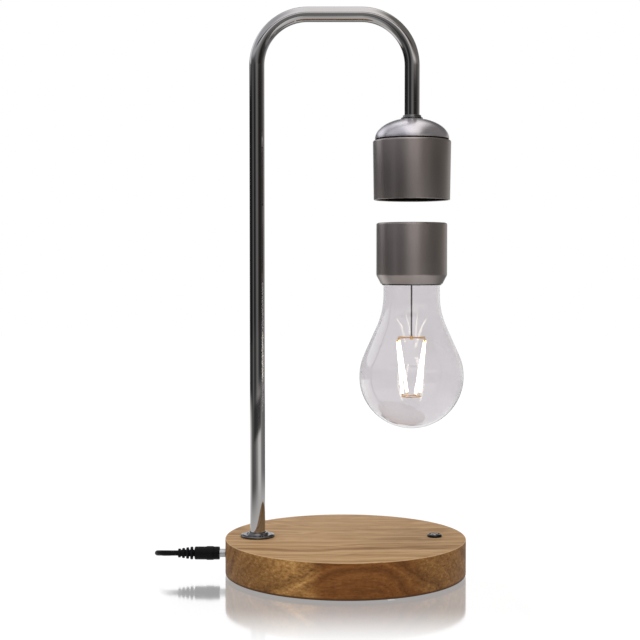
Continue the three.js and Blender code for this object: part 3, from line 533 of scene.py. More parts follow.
# Colours of the oak, on its top and on its side
TOP_LIGHT = (0.475, 0.31, 0.165)
TOP_MIDDLE = (0.34, 0.2, 0.092)
TOP_DARK = (0.15, 0.072, 0.026)
SIDE_LIGHT = (0.28, 0.145, 0.048)
SIDE_MIDDLE = (0.175, 0.08, 0.022)
SIDE_DARK = (0.075, 0.03, 0.008)
# A worn top edge, lightened further as a painted highlight where the rounding turns from top to
# side
WORN_EDGE_HIGHLIGHT = (0.52, 0.35, 0.2)
PORE = (0.25, 0.2, 0.15)
# What the side's colours are multiplied by in the darker, redder band of heartwood and painted
# shadow, and in the pale sapwood
HEART_SHADOW_TINT = (0.74, 0.58, 0.46)
SAPWOOD = (1.55, 1.68, 1.8)
# The line that the growth bands run round, in metres
PITH_TURN = (0, math.radians(1.6), math.radians(0.9))
PITH_ABOVE = 0.1
PITH_BEHIND = 0.03
BANDS_PER_METRE = 150
# Scales of the noises, per metre
WANDER_SCALE = (5, 60, 60)
SWAY_SCALE = (9, 18, 18)
FIBRE_SCALE = (22, 800, 800)
STREAK_SCALE = (9, 300, 300)
FLECK_SCALE = (380, 380, 640)
PORE_SCALE = (70, 1700, 1700)
# How far noise pushes the bands and the borders of the band of heartwood and painted shadow about,
# in metres
BAND_WANDER = 0.01
BAND_SWAY = 0.03
HEART_SHADOW_SWAY = 0.08
# How much of the wood's tone comes from the bands, the fibres and, on top, the streaks
BAND_SHARE = 0.6
FIBRE_SHARE = 0.25
STREAK_SHARE = 0.3
# What the side's tone gets instead of streaks, with flecks that are weaker in the band of
# heartwood and painted shadow
SIDE_OFFSET = 0.15
SPECKLE = 0.5
HEART_SHADOW_SPECKLE = 0.25
# The band above the lower edge, in millimetres, in which the side turns dark with painted shade
EDGE_SHADE = (2, 0.8)
# Where along X the darker, redder band of heartwood and painted shadow begins and ends on the
# front of the base, in metres
HEART_SHADOW_RISE = (-0.034, -0.016)
HEART_SHADOW_FALL = (0.034, 0.056)
# Where the pale sapwood beside it begins
SAPWOOD_RISE = (-0.062, -0.046)


def oak():
    """Flat-sawn oak: growth bands round a pith line above the base, fibres, pores, a band of
    heartwood and painted shadow, a worn edge with a painted highlight and painted shade along the
    lower edge.
    """
    nodes = Nodes("oak")
    place = nodes.split(nodes.place(turn=PITH_TURN, move=(0, -PITH_BEHIND, -PITH_ABOVE)))
    across = nodes.math("MULTIPLY", place["Y"], place["Y"])
    down = nodes.math("MULTIPLY", place["Z"], place["Z"])
    reach = nodes.math("SQRT", nodes.math("ADD", across, down))
    wander = nodes.noise(nodes.place(scale=WANDER_SCALE), 0.5, detail=3)
    wide = nodes.noise(nodes.place(scale=SWAY_SCALE), 1.3, detail=2)
    pushed = nodes.math("ADD", reach, nodes.math("MULTIPLY", wander, BAND_WANDER))
    pushed = nodes.math("ADD", pushed, nodes.math("MULTIPLY", wide, BAND_SWAY))
    band_place = nodes.add("ShaderNodeCombineXYZ")
    nodes.link(nodes.math("MULTIPLY", pushed, BANDS_PER_METRE), band_place.inputs[0])
    bands = nodes.noise(band_place.outputs[0], 1, detail=3, roughness=0.6)
    fibres = nodes.noise(nodes.place(scale=FIBRE_SCALE), 1, detail=5, roughness=0.7)
    streaks = nodes.noise(nodes.place(scale=STREAK_SCALE), 1, detail=3, roughness=0.6)
    flecks = nodes.noise(nodes.place(scale=FLECK_SCALE), 1, detail=3, roughness=0.7)
    band_tone = nodes.math("MULTIPLY", bands, BAND_SHARE)
    tone = nodes.math("ADD", band_tone, nodes.math("MULTIPLY", fibres, FIBRE_SHARE))
    top_tone = nodes.math("ADD", tone, nodes.math("MULTIPLY", streaks, STREAK_SHARE))
    top = nodes.ramp(top_tone, (0.49, TOP_LIGHT), (0.6, TOP_MIDDLE), (0.73, TOP_DARK))
    spot = nodes.split(nodes.place())
    # Painted shadow with heartwood: a darker, redder band across the middle of the side
    sway = nodes.math("MULTIPLY", nodes.math("SUBTRACT", wide, 0.5), HEART_SHADOW_SWAY)
    drift = nodes.math("ADD", spot["X"], sway)
    past_rise = nodes.step(drift, *HEART_SHADOW_RISE)
    heart_shadow = nodes.math("SUBTRACT", past_rise, nodes.step(drift, *HEART_SHADOW_FALL))
    speckle = nodes.math("SUBTRACT", flecks, 0.5)
    speckle = nodes.math("MULTIPLY", speckle, nodes.span(heart_shadow, SPECKLE, HEART_SHADOW_SPECKLE))
    side_tone = nodes.math("ADD", nodes.math("ADD", tone, SIDE_OFFSET), speckle)
    side = nodes.ramp(side_tone, (0.43, SIDE_LIGHT), (0.57, SIDE_MIDDLE), (0.74, SIDE_DARK))
    side = nodes.mix(heart_shadow, side, nodes.mix(1.0, side, HEART_SHADOW_TINT, "MULTIPLY"))
    pale = nodes.math("SUBTRACT", nodes.step(drift, *SAPWOOD_RISE), past_rise)
    pale = nodes.math("MAXIMUM", pale, 0.0)
    side = nodes.mix(pale, side, nodes.mix(1.0, side, SAPWOOD, "MULTIPLY"))
    facing = nodes.add("ShaderNodeNewGeometry")
    upward = nodes.split(facing.outputs["Normal"])["Z"]
    # Wear and painted highlight: the rounded top edge is lightened, more where the fibres are
    # lighter
    worn_highlight = nodes.math("MULTIPLY", nodes.step(upward, 0.1, 0.5), nodes.step(upward, 0.99, 0.9))
    color = nodes.mix(nodes.step(upward, 0.5, 0.9), side, top)
    color = nodes.mix(nodes.math("MULTIPLY", worn_highlight, nodes.span(fibres, 0.2, 1.2)), color, WORN_EDGE_HIGHLIGHT)
    pores = nodes.noise(nodes.place(scale=PORE_SCALE), 1, detail=2)
    pore_mask = nodes.ramp(pores, (0.3, PORE), (0.42, WHITE))
    color = nodes.mix(0.5, color, pore_mask, "MULTIPLY")
    lower_edge = low("wood_base").z
    # Painted shade: the side takes its darkest colour in a band along the lower edge
    shade = nodes.step(spot["Z"], *[lower_edge + above * MM for above in EDGE_SHADE])
    nodes.color(nodes.mix(shade, color, SIDE_DARK))
    nodes.roughness(nodes.span(fibres, 0.5, 0.7))
    nodes.value("Specular IOR Level", 0.12)
    nodes.bump(nodes.math("SUBTRACT", fibres, nodes.math("MULTIPLY", bands, 0.4)), 0.35, 0.12 * MM)
    return nodes.material


def clear_glass():
    """Thin grey glass with a few faint waves in it."""
    nodes = Nodes("clear_glass")
    nodes.value("Base Color", (0.785, 0.765, 0.78, 1))
    nodes.value("Roughness", 0.0)
    nodes.value("IOR", 1.45)
    nodes.value("Transmission Weight", 1.0)
    nodes.bump(nodes.noise(nodes.place(scale=(1, 1, 0.5)), 30, detail=1), 0.05, 0.4 * MM)
    return nodes.material


def glowing(name, color, tip_color, strength):
    """Glowing phosphor, yellower and darker at its upper end."""
    nodes = Nodes(name)
    height = nodes.split(nodes.place())["Z"]
    top = high("led_filament_1").z
    tint = nodes.mix(nodes.step(height, top - 5 * MM, top - 1.5 * MM), color, tip_color)
    nodes.color(tint)
    nodes.link(tint, nodes.shader.inputs["Emission Color"])
    nodes.value("Roughness", 0.6)
    nodes.value("Emission Strength", strength)
    return nodes.material


OAK = oak()
CHROME = plain("chrome", (0.34, 0.33, 0.326), 0.05, metallic=1.0, spread=0.03, bump=0.002)
GUNMETAL = satin_metal("gunmetal", (0.295, 0.26, 0.245), 0.34)
POLISHED = satin_metal("polished_metal", (0.49, 0.47, 0.49), 0.28)
# Darker copies of chrome, standing for painted shade and dark reflections on the collar, the
# ferrule, the cap's lower lip and the bezel
SHADED_CHROME = plain("shaded_chrome", (0.11, 0.108, 0.108), 0.08, metallic=1.0)
DEEP_SHADED_CHROME = plain("deep_shaded_chrome", (0.03, 0.03, 0.032), 0.1, metallic=1.0)
STEEL = plain("steel", (0.32, 0.32, 0.325), 0.3, metallic=1.0)
BLACK_PLASTIC = plain("black_plastic", (0.004, 0.004, 0.0045), 0.4, bump=0.03, gloss=0.06)
DULL_BLACK = plain("dull_black", (0.004, 0.004, 0.004), 0.9, gloss=0.0)
BLACK_RUBBER = plain("black_rubber", (0.005, 0.005, 0.0055), 0.6, bump=0.06, gloss=0.06)
CABLE = plain("cable", (0.004, 0.004, 0.0045), 0.42, grain_scale=900, bump=0.03, gloss=0.06)
GLASS = clear_glass()
BRASS_WIRE = plain("brass_wire", (0.75, 0.42, 0.12), 0.3, metallic=1.0)
DARK_WIRE = plain("dark_wire", (0.09, 0.075, 0.07), 0.45, metallic=0.6)
PHOSPHOR = glowing("phosphor", (1.0, 0.95, 0.78), (0.75, 0.62, 0.22), 5.0)
# Only on pieces that keep their frame mesh
plain("copper", (0.55, 0.2, 0.08), 0.35, metallic=1.0)
plain("circuit", (0.02, 0.12, 0.05), 0.5)
plain("ferrite", (0.04, 0.04, 0.045), 0.7)
plain("iron_core", (0.2, 0.2, 0.21), 0.5, metallic=1.0)
plain("magnet_nickel", (0.62, 0.6, 0.56), 0.2, metallic=1.0)
plain("white_plastic", (0.8, 0.79, 0.76), 0.5)


def dress(piece, body, slot, *nodes):
    """The piece rides on a body and stands for the named nodes, which are hidden. The slot is not
    used.
    """
    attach(piece, body)
    if nodes:
        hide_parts(*nodes)
    return piece


def z_of(node, end):
    """A node's lowest or highest point, in millimetres."""
    return (low(node).z if end == "low" else high(node).z) / MM


def paint_faces(piece, material, wanted):
    """Gives a second material to the faces whose middle is wanted."""
    piece.data.materials.append(material)
    for face in piece.data.polygons:
        face.material_index = 1 if wanted(face.center) else 0


# Wooden base: a pocket that the cover closes from below, and holes for stand, button and socket

# Wood above the pocket, beside it and beside the cover, and the depth that the cover takes up
SHELL = 5
POCKET_WALL = 12
REBATE_WALL = 5.2
COVER_DEPTH = 3
BUTTON_HOLE = 4.3
SOCKET_DEPTH = 14
# How far a cutter stands out past what it cuts
PAST = 1


def plain_rod(radius, start, end):
    """The outline of a round rod or cutter."""
    return [(0, start), (radius, start), (radius, end), (0, end)]


def make_base():
    radius = high("wood_base").x / MM
    bottom, top = z_of("wood_base", "low"), z_of("wood_base", "high")
    pocket_radius = radius - POCKET_WALL
    rebate_radius = radius - REBATE_WALL
    cover_top = bottom + COVER_DEPTH
    pocket_top = top - SHELL
    outline = rounded([
        (0, pocket_top, 0),
        (pocket_radius, pocket_top, 0.5),
        (pocket_radius, cover_top, 0.3),
        (rebate_radius, cover_top, 0.3),
        (rebate_radius, bottom, 0.3),
        (radius, bottom, 0.8),
        (radius, top, 0.55),
        (0, top, 0),
    ])
    wood = turned("oak_base", outline, OAK, facets=FINE)
    for hole_radius, axis in ((TUBE_HOLE, FOOT_AXIS), (BUTTON_HOLE, BUTTON_AXIS)):
        hole = plain_rod(hole_radius, pocket_top - PAST, top + PAST)
        cut_out(wood, turned("hole", hole, OAK, axis, SMALL))
    jack_radius = high("dc_jack").y / MM + PLAY
    mouth = turned("hole", plain_rod(jack_radius, -PAST, SOCKET_DEPTH), OAK, facets=SMALL)
    cut_out(wood, lay_along_x(mouth, SOCKET, 1))
    dress(wood, "lamp", "oak", "wood_base")


def make_socket():
    """The socket's shell, made about +Z from its mouth and laid along +X."""
    radius = high("dc_jack").y / MM
    outline = rounded([
        (0, 9, 0),
        (3.05, 9, 0),
        (3.05, 0, 0.3),
        (radius - 0.9, 0, 0.15),
        (radius - 0.9, 0.35, 0),
        (radius, 0.35, 0.15),
        (radius, 11.5, 0.2),
        (0, 11.5, 0),
    ])
    socket = turned("socket_shell", outline, BLACK_PLASTIC, facets=SMALL)
    dress(lay_along_x(socket, SOCKET, 1), "lamp", "black_plastic", "dc_jack")


# Stand

BEND_RADIUS = 33.4
BEND_STEPS = 24
TUBE_SIDES = 64
TUBE_WALL = 1
# How far below the top of the dome the tube ends
TUBE_END = 11.3


def arch_line():
    """The middle line of the tube: up from the base, over two bends and down into the holder."""
    left, right = FOOT_AXIS.x, BULB_AXIS.x
    bend = BEND_RADIUS * MM
    bar = high("stand_tube").z - TUBE_RADIUS * MM
    end = z_of("holder_dome", "high") - TUBE_END
    line = [Vector((left, 0, low("stand_tube").z))]
    for centre_x, start in ((left + bend, math.pi), (right - bend, math.pi / 2)):
        for step in range(BEND_STEPS + 1):
            angle = start - math.pi / 2 * step / BEND_STEPS
            height = bar - bend + bend * math.sin(angle)
            line.append(Vector((centre_x + bend * math.cos(angle), 0, height)))
    line.append(Vector((right, 0, end * MM)))
    return line


def make_stand():
    radius, inner = TUBE_RADIUS * MM, (TUBE_RADIUS - TUBE_WALL) * MM
    tube = tube_along("chrome_tube", arch_line(), radius, CHROME, TUBE_SIDES, inner)
    dress(tube, "lamp", "chrome", "stand_tube")
    bottom = z_of("stand_collar", "low")
    # Darkened chrome: painted shade and dark reflections on the collar
    collar = turned("foot_collar", rounded([
        (TUBE_HOLE, bottom, 0),
        (11.4, bottom, 0.3),
        (11.4, bottom + 1.5, 0.7),
        (9.6, bottom + 2.0, 0.4),
        (7.4, bottom + 1.9, 0.4),
        (6.6, bottom + 3.2, 0.6),
        (TUBE_HOLE, bottom + 3.2, 0.3),
    ]), SHADED_CHROME, FOOT_AXIS)
    dress(collar, "lamp", "chrome", "stand_collar")
    bottom = z_of("tube_ferrule", "low")
    # Darkened chrome: painted shade and dark reflections on the ferrule
    ferrule = turned("drop_ferrule", rounded([
        (TUBE_HOLE, bottom, 0),
        (7.2, bottom, 0.25),
        (7.2, bottom + 0.9, 0.35),
        (6.2, bottom + 1.3, 0.2),
        (6.0, bottom + 2.6, 0.45),
        (TUBE_HOLE, bottom + 2.6, 0.2),
    ]), SHADED_CHROME, BULB_AXIS)
    dress(ferrule, "lamp", "chrome", "tube_ferrule")


# Push button

BUTTON_DOME = 8
BUTTON_DOME_START = math.radians(70)
BUTTON_DOME_STEPS = 8


def make_button():
    top = z_of("wood_base", "high")
    # Deeply darkened chrome: painted shade and dark reflections on the bezel
    body = turned("button_bezel", rounded([
        (0, top - 10, 0),
        (4.0, top - 10, 0.3),
        (4.0, top, 0),
        (4.95, top, 0.15),
        (4.95, top + 1.1, 0.5),
        (4.15, top + 1.8, 0.35),
        (3.25, top + 1.6, 0.2),
        (3.25, top - 8.4, 0),
        (0, top - 8.4, 0),
    ]), DEEP_SHADED_CHROME, BUTTON_AXIS, SMALL)
    dress(body, "lamp", "chrome", "button_body")
    plunger_top = z_of("button_plunger", "high")
    plunger_bottom = z_of("button_plunger", "low")
    dome = arc_points(
        0, plunger_top - BUTTON_DOME, BUTTON_DOME, BUTTON_DOME,
        BUTTON_DOME_START, math.pi / 2, BUTTON_DOME_STEPS,
    )[:-1]
    plunger = turned("button_cap", [
        (0, plunger_bottom),
        (2.95, plunger_bottom),
        (2.95, plunger_top - 0.8),
        *dome,
        (0, plunger_top),
    ], CHROME, BUTTON_AXIS, SMALL)
    dress(plunger, "button", "gunmetal", "button_plunger")
    make_return_spring()


SPRING_TURNS = 4
SPRING_WIRE = 0.35
SPRING_SIDES = 10
SPRING_GAP = 0.05


def make_return_spring():
    """A wound spring below the plunger, with a mesh of its own."""
    bottom, top = z_of("button_spring", "low"), z_of("button_spring", "high")
    coil_radius = high("button_spring").y / MM - SPRING_WIRE - SPRING_GAP
    first = bottom + SPRING_WIRE + SPRING_GAP
    rise = top - bottom - 2 * (SPRING_WIRE + SPRING_GAP)
    line = []
    for step in range(SPRING_TURNS * COIL_STEPS + 1):
        turn = step / COIL_STEPS
        angle = 2 * math.pi * turn
        height = first + rise * turn / SPRING_TURNS
        place = (coil_radius * math.cos(angle), coil_radius * math.sin(angle), height)
        line.append(BUTTON_AXIS + Vector(place) * MM)
    spring = tube_along("return_spring", line, SPRING_WIRE * MM, STEEL, SPRING_SIDES)
    dress(spring, "lamp", "steel", "button_spring")
    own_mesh(spring)


# Holder under the arch

# How far below the dome the skirt's shoulder and its inner lip lie
SHOULDER_DROP = 0.85
LIP_DROP = 0.05
# The seam between skirt and dome, painted dull black as shade in its groove: within this radius,
# and from this far below the shoulder
SEAM_SHADE_RADIUS = 24.2
SEAM_SHADE_BELOW = 0.05
DOME_RADIUS = 24.5
DOME_HEIGHT = 13.7
DOME_WALL = 1.2
DOME_STEPS = 28
DOME_INNER_STEPS = 16
COVER_RADIUS = 23.7


def make_holder():
    bottom = z_of("holder_skirt", "low")
    dome_bottom = z_of("holder_dome", "low")
    shoulder = dome_bottom - SHOULDER_DROP
    lip_top = dome_bottom - LIP_DROP
    skirt = turned("magnet_skirt", rounded([
        (24.0, bottom, 0.2),
        (25.2, bottom, 0.45),
        (25.8, shoulder, 1.3),
        (24.2, shoulder, 0.1),
        (24.1, lip_top, 0),
        (22.4, lip_top, 0),
        (22.4, lip_top + 3, 0.2),
        (21.2, lip_top + 3, 0),
        (21.2, shoulder - 2.1, 0),
        (24.6, shoulder - 3, 0),
    ]), GUNMETAL, BULB_AXIS, FINE)
    seam_shade_low = (shoulder - SEAM_SHADE_BELOW) * MM
    seam_shade_reach = SEAM_SHADE_RADIUS * MM
    # Painted shade: the lip under the dome's edge is painted dull black
    paint_faces(
        skirt, DULL_BLACK,
        lambda place: place.z > seam_shade_low and (place - BULB_AXIS).xy.length < seam_shade_reach,
    )
    dress(skirt, "lamp", "gunmetal", "holder_skirt")
    outer_end = math.acos(TUBE_HOLE / DOME_RADIUS)
    outer = arc_points(0, dome_bottom, DOME_RADIUS, DOME_HEIGHT, 0, outer_end, DOME_STEPS)
    inner_radius, inner_height = DOME_RADIUS - DOME_WALL, DOME_HEIGHT - DOME_WALL
    inner_end = math.acos(TUBE_HOLE / inner_radius)
    inner = arc_points(0, dome_bottom, inner_radius, inner_height, inner_end, 0, DOME_INNER_STEPS)
    dome = turned("magnet_dome", [*outer, *inner], POLISHED, BULB_AXIS, FINE)
    dress(dome, "lamp", "polished_metal", "holder_dome")
    cover_bottom, cover_top = z_of("holder_cover", "low"), z_of("holder_cover", "high")
    cover = turned("magnet_cover", rounded([
        (0, cover_bottom, 0),
        (COVER_RADIUS, cover_bottom, 0.4),
        (COVER_RADIUS, cover_top, 0),
        (0, cover_top, 0),
    ]), DULL_BLACK, BULB_AXIS, FINE)
    dress(cover, "lamp", "black_plastic", "holder_cover")


# Floating bulb

CAP_CREASE = 6.6
CAP_SHADED_LIP = 0.88


def make_cap():
    bottom, top = z_of("bulb_cap", "low"), z_of("bulb_cap", "high")
    crease = bottom + CAP_CREASE
    shell = turned("cap_shell", rounded([
        (18.9, bottom, 0.1),
        (19.7, bottom, 0.2),
        (19.8, bottom + 0.8, 0),
        (20.4, bottom + 0.9, 0.25),
        (23.4, crease, 2.5),
        (23.4, top, 1.2),
        (22.3, top, 0.1),
        (22.3, top - 2, 0),
        (21.7, top - 2, 0),
        (21.7, crease + 1.7, 0),
        (18.9, crease - 1.7, 0),
    ]), GUNMETAL, BULB_AXIS, FINE)
    # Painted shade: the lowest band of the cap takes darkened chrome, a dark line under the cap
    paint_faces(shell, SHADED_CHROME, lambda place: place.z < (bottom + CAP_SHADED_LIP) * MM)
    dress(shell, "bulb", "gunmetal", "bulb_cap")
    lid = turned("cap_lid", rounded([
        (0, top - 2, 0),
        (22.0, top - 2, 0),
        (22.0, top, 0.25),
        (0, top, 0),
    ]), GUNMETAL, BULB_AXIS, FINE)
    dress(lid, "bulb", "gunmetal", "bulb_cap_lid")


BALL_RADIUS = 34.6
SHOULDER_RADIUS = 53
NECK_RADIUS = 18.6
CONE_SLOPE = 0.454
GLASS_WALL = 1.0
BALL_STEPS = 44
SHOULDER_STEPS = 14


def glass_outline(inset, centre, top):
    """A ball, a cone that touches it, a hollow shoulder and a straight neck, all set in."""
    ball = BALL_RADIUS - inset
    shoulder = SHOULDER_RADIUS + inset
    neck = NECK_RADIUS - inset
    lean = math.atan(CONE_SLOPE)
    cone_radius = ball * math.cos(lean)
    end_radius = neck + shoulder * (1 - math.cos(lean))
    end_height = centre + ball * math.sin(lean) + (cone_radius - end_radius) / CONE_SLOPE
    shoulder_centre = end_height + shoulder * math.sin(lean)
    outline = [(0, centre - ball)]
    outline += arc_points(0, centre, ball, ball, -math.pi / 2, lean, BALL_STEPS)[1:]
    outline += arc_points(
        neck + shoulder, shoulder_centre, shoulder, shoulder,
        math.pi + lean, math.pi, SHOULDER_STEPS,
    )
    return [*outline, (neck, top)]


def make_glass():
    centre = z_of("glass_bulb", "low") + BALL_RADIUS
    top = z_of("glass_bulb", "high")
    outline = glass_outline(0, centre, top) + glass_outline(GLASS_WALL, centre, top)[::-1]
    glass = turned("bulb_glass", outline, GLASS, BULB_AXIS, FINE)
    dress(glass, "bulb", "clear_glass", "glass_bulb")


ROD_RADIUS = 0.55
# How far above the middle of the wire cross the rod begins
ROD_START = 0.3
# The ends of the filaments in the frame, in metres from their highest and lowest points
FILAMENT_END = 0.5 * MM


def make_wires():
    start = middle("filament_cross").z / MM + ROD_START
    outline = plain_rod(ROD_RADIUS, start, z_of("support_rod", "high"))
    rod = turned("centre_rod", outline, DARK_WIRE, BULB_AXIS, THIN)
    dress(rod, "bulb", "dark_wire", "support_rod")
    for index in range(1, 5):
        node = frame["nodes"][f"led_filament_{index}"]
        corners = [v.co for v in node.data.vertices]
        highest = max(c.z for c in corners)
        lowest = min(c.z for c in corners)
        upper = centre_of([c for c in corners if c.z > highest - FILAMENT_END])
        lower = centre_of([c for c in corners if c.z < lowest + FILAMENT_END])
        make_filament(index, upper, lower)


def centre_of(points):
    return sum(points, Vector()) / len(points)


WIRE_RADIUS = 0.45
WIRE_INSET = 0.2
COAT_RADIUS = 0.9
COAT_INSET = 1.4
COAT_ROUNDING = 0.35
# Faces with their middle nearer to an end than this are bare metal
BARE_END = 1.35


def make_filament(index, upper, lower):
    """A glowing rod with rounded ends and bare metal beyond them."""
    length = (upper - lower).length / MM
    outline = rounded([
        (0, WIRE_INSET, 0),
        (WIRE_RADIUS, WIRE_INSET, 0),
        (WIRE_RADIUS, COAT_INSET, 0),
        (COAT_RADIUS, COAT_INSET, COAT_ROUNDING),
        (COAT_RADIUS, length - COAT_INSET, COAT_ROUNDING),
        (WIRE_RADIUS, length - COAT_INSET, 0),
        (WIRE_RADIUS, length - WIRE_INSET, 0),
        (0, length - WIRE_INSET, 0),
    ], SMALL_ARC_STEPS)
    rod = turned(f"filament_{index}", outline, PHOSPHOR, facets=THIN)
    half = length / 2
    paint_faces(rod, BRASS_WIRE, lambda place: abs(place.z / MM - half) > half - BARE_END)
    turn = (upper - lower).to_track_quat("Z", "Y").to_matrix().to_4x4()
    rod.data.transform(Matrix.Translation(lower) @ turn)
    dress(rod, "bulb", "phosphor", f"led_filament_{index}")


# Plug on the left, made about +Z from the socket's mouth and laid along -X

GRIP_START = 4
GRIP_END = 20.7
RELIEF_END = 31.7
RIBS = 4
RIB_PITCH = (RELIEF_END - GRIP_END) / RIBS
# The part of the pitch that a rib takes up, the largest rib's radius, and how much smaller the
# last rib is
RIB_SHARE = 0.58
RIB_RADIUS = 4.2
RIB_TAPER = 1.25
RIB_ROUNDING = 0.3
SLEEVE_RADIUS = 2.25


def make_plug():
    """The plug's own pieces, and the far plug's nodes, which go with the cord."""
    barrel = turned("plug_sleeve", rounded([
        (0, 3, 0),
        (1.35, 3, 0),
        (1.35, -5.5, 0.2),
        (2.75, -5.5, 0.3),
        (2.75, GRIP_START, 0),
        (0, GRIP_START, 0),
    ]), STEEL, facets=SMALL)
    dress(lay_along_x(barrel, SOCKET, -1), "plug", "steel", "plug_barrel")
    body = turned("plug_grip", rounded([
        (0, GRIP_START, 0),
        (4.3, GRIP_START, 0.4),
        (4.3, 8, 0),
        (4.6, 8.2, 0.15),
        (4.6, 12.6, 0.15),
        (4.3, 12.8, 0),
        (4.3, GRIP_END, 0.8),
        (0, GRIP_END, 0),
    ]), BLACK_PLASTIC, facets=ROUND)
    dress(lay_along_x(body, SOCKET, -1), "plug", "black_plastic", "plug_body")
    corners = [(0, GRIP_END, 0)]
    for rib in range(RIBS):
        radius = RIB_RADIUS - rib * RIB_TAPER / (RIBS - 1)
        end = GRIP_END + (rib + 1) * RIB_PITCH
        start = end - RIB_PITCH * RIB_SHARE
        corners += [(SLEEVE_RADIUS, end - RIB_PITCH, 0), (SLEEVE_RADIUS, start, 0)]
        corners += [(radius, start, RIB_ROUNDING), (radius, end, RIB_ROUNDING)]
    corners.append((0, RELIEF_END, 0))
    outline = rounded(corners, SMALL_ARC_STEPS)
    relief = turned("cord_relief", outline, BLACK_RUBBER, facets=SMALL)
    dress(lay_along_x(relief, SOCKET, -1), "plug", "black_rubber", "strain_relief")
    far_plug = [frame["nodes"][name] for name in ("far_plug_housing", "far_plug_shell")]
    return [*far_plug, barrel, body, relief]


# Inner pieces and small parts keep their frame mesh and take their slot's finish

def dress_frame_nodes():
    for row in frame["record"]["subparts"]:
        node = frame["nodes"][row["node"]]
        node.data.materials.clear()
        node.data.materials.append(MATERIALS[row["material_slot"]])


# Floor, world and lamps

FLOOR_HALF = 3.0
FLOOR_GREY = (0.92, 0.92, 0.92, 1)
FLOOR_ROUGHNESS = 0.09
# The floor's mirror fades in front of the lamp, behind its middle and beside it, in metres
GLOSS_SHARE = 0.68
GLOSS_FRONT = (-0.185, -0.085)
GLOSS_BEHIND = (0.03, -0.03)
GLOSS_BESIDE = (0.123, 0.102)
# How much of the floor glows white where it is seen, and how brightly
GLOW_SHARE = 0.94
GLOW = 1.05
# Distances from the lamp between which metal sees the white table end and the studio's walls begin
TABLE_END = (0.2, 0.42)
WALL_END = (0.8, 1.5)
# Turn round the lamp as a share from -Y over -X, +Y and +X back to -Y, with the grey that metal
# sees there. The dark room stands round the table, the lighter walls and windows above it.
ROOM_STOPS = [
    (0.0, 0.36),
    (0.02, 0.32),
    (0.05, 0.16),
    (0.065, 0.07),
    (0.113, 0.035),
    (0.14, 0.12),
    (0.163, 0.34),
    (0.19, 0.13),
    (0.222, 0.06),
    (0.288, 0.01),
    (0.36, 0.04),
    (0.445, 0.25),
    (0.462, 0.4),
    (0.474, 1.0),
    (0.526, 1.0),
    (0.538, 0.5),
    (0.56, 0.55),
    (0.61, 0.65),
    (0.703, 0.3),
    (0.769, 0.13),
    (0.826, 0.055),
    (0.877, 0.035),
    (0.925, 0.055),
    (0.97, 0.3),
    (1.0, 0.36),
]
WALL_STOPS = [
    (0.0, 0.7),
    (0.05, 0.45),
    (0.1, 0.2),
    (0.2, 0.15),
    (0.27, 0.5),
    (0.33, 1.7),
    (0.4, 1.5),
    (0.44, 0.4),
    (0.47, 0.15),
    (0.55, 0.15),
    (0.72, 0.35),
    (0.8, 0.4),
    (0.845, 0.7),
    (0.875, 1.3),
    (0.95, 1.3),
    (0.985, 1.0),
    (1.0, 0.7),
]
# Sines of the heights between which the walls follow on the room, and the lid on the walls
WALL_RISE = (0.13, 0.21)
LID_RISE = (0.2, 0.34)
# How much higher walls and lid begin at the back, and the share of a direction that points to the
# back between which they rise
BACKDROP_LIFT = 0.15
BACKDROP_SPAN = (0.6, 0.95)
LID_LIFT = 0.5
LID_SPAN = (0.0, 0.8)
# The lid's greys from left to right, and the shares of a direction to the right between them
LID_LEFT = 0.9
LID_BRIGHT = 1.85
LID_RIGHT = 0.3
LID_TO_BRIGHT = (-0.5, -0.1)
LID_TO_RIGHT = (0.15, 0.5)
# A dark beam in front, as sines of its lower and upper edge, and as distances on the floor
BEAM_LOW = (0.37, 0.4)
BEAM_HIGH = (0.46, 0.49)
BEAM_NEAR = (0.7, 0.76)
BEAM_FAR = (1.1, 1.2)
BEAM_SHARE = 0.95
BEAM_SIDES = (0.35, 0.75)
# The studio's tint on the left and on the right, and the shares of a direction between them
COOL = (0.97, 0.98, 1.03)
WARM = (1.03, 0.99, 0.96)
WARM_RISE = (-0.6, 0.6)
# The world's even light on the object
LIGHT_GREY = (0.62, 0.62, 0.62)


def wall_grey(nodes, place, stops):
    """The grey in the direction of a place. The ramp holds half of it, because it ends at one."""
    around = nodes.math("ARCTAN2", place["X"], place["Y"])
    turn = nodes.span(around, 0.0, 1.0, -math.pi, math.pi)
    halves = nodes.ramp(turn, *[(share, (grey / 2,) * 3) for share, grey in stops])
    return nodes.math("MULTIPLY", halves, 2.0)


def blend(nodes, factor, first, second):
    """A number between two others."""
    gap = nodes.math("SUBTRACT", second, first)
    return nodes.math("ADD", nodes.math("MULTIPLY", gap, factor), first)


def beam_light(nodes, place, measure, start, end):
    """The share of light that the beam leaves: all of it outside the span and at the sides."""
    heading = nodes.add("ShaderNodeVectorMath", operation="NORMALIZE")
    nodes.link(place, heading.inputs[0])
    front = nodes.math("MULTIPLY", nodes.split(heading.outputs[0])["Y"], -1.0)
    within = nodes.math("SUBTRACT", nodes.step(measure, *start), nodes.step(measure, *end))
    dark = nodes.math("MULTIPLY", within, nodes.step(front, *BEAM_SIDES))
    return nodes.math("SUBTRACT", 1.0, nodes.math("MULTIPLY", dark, BEAM_SHARE))


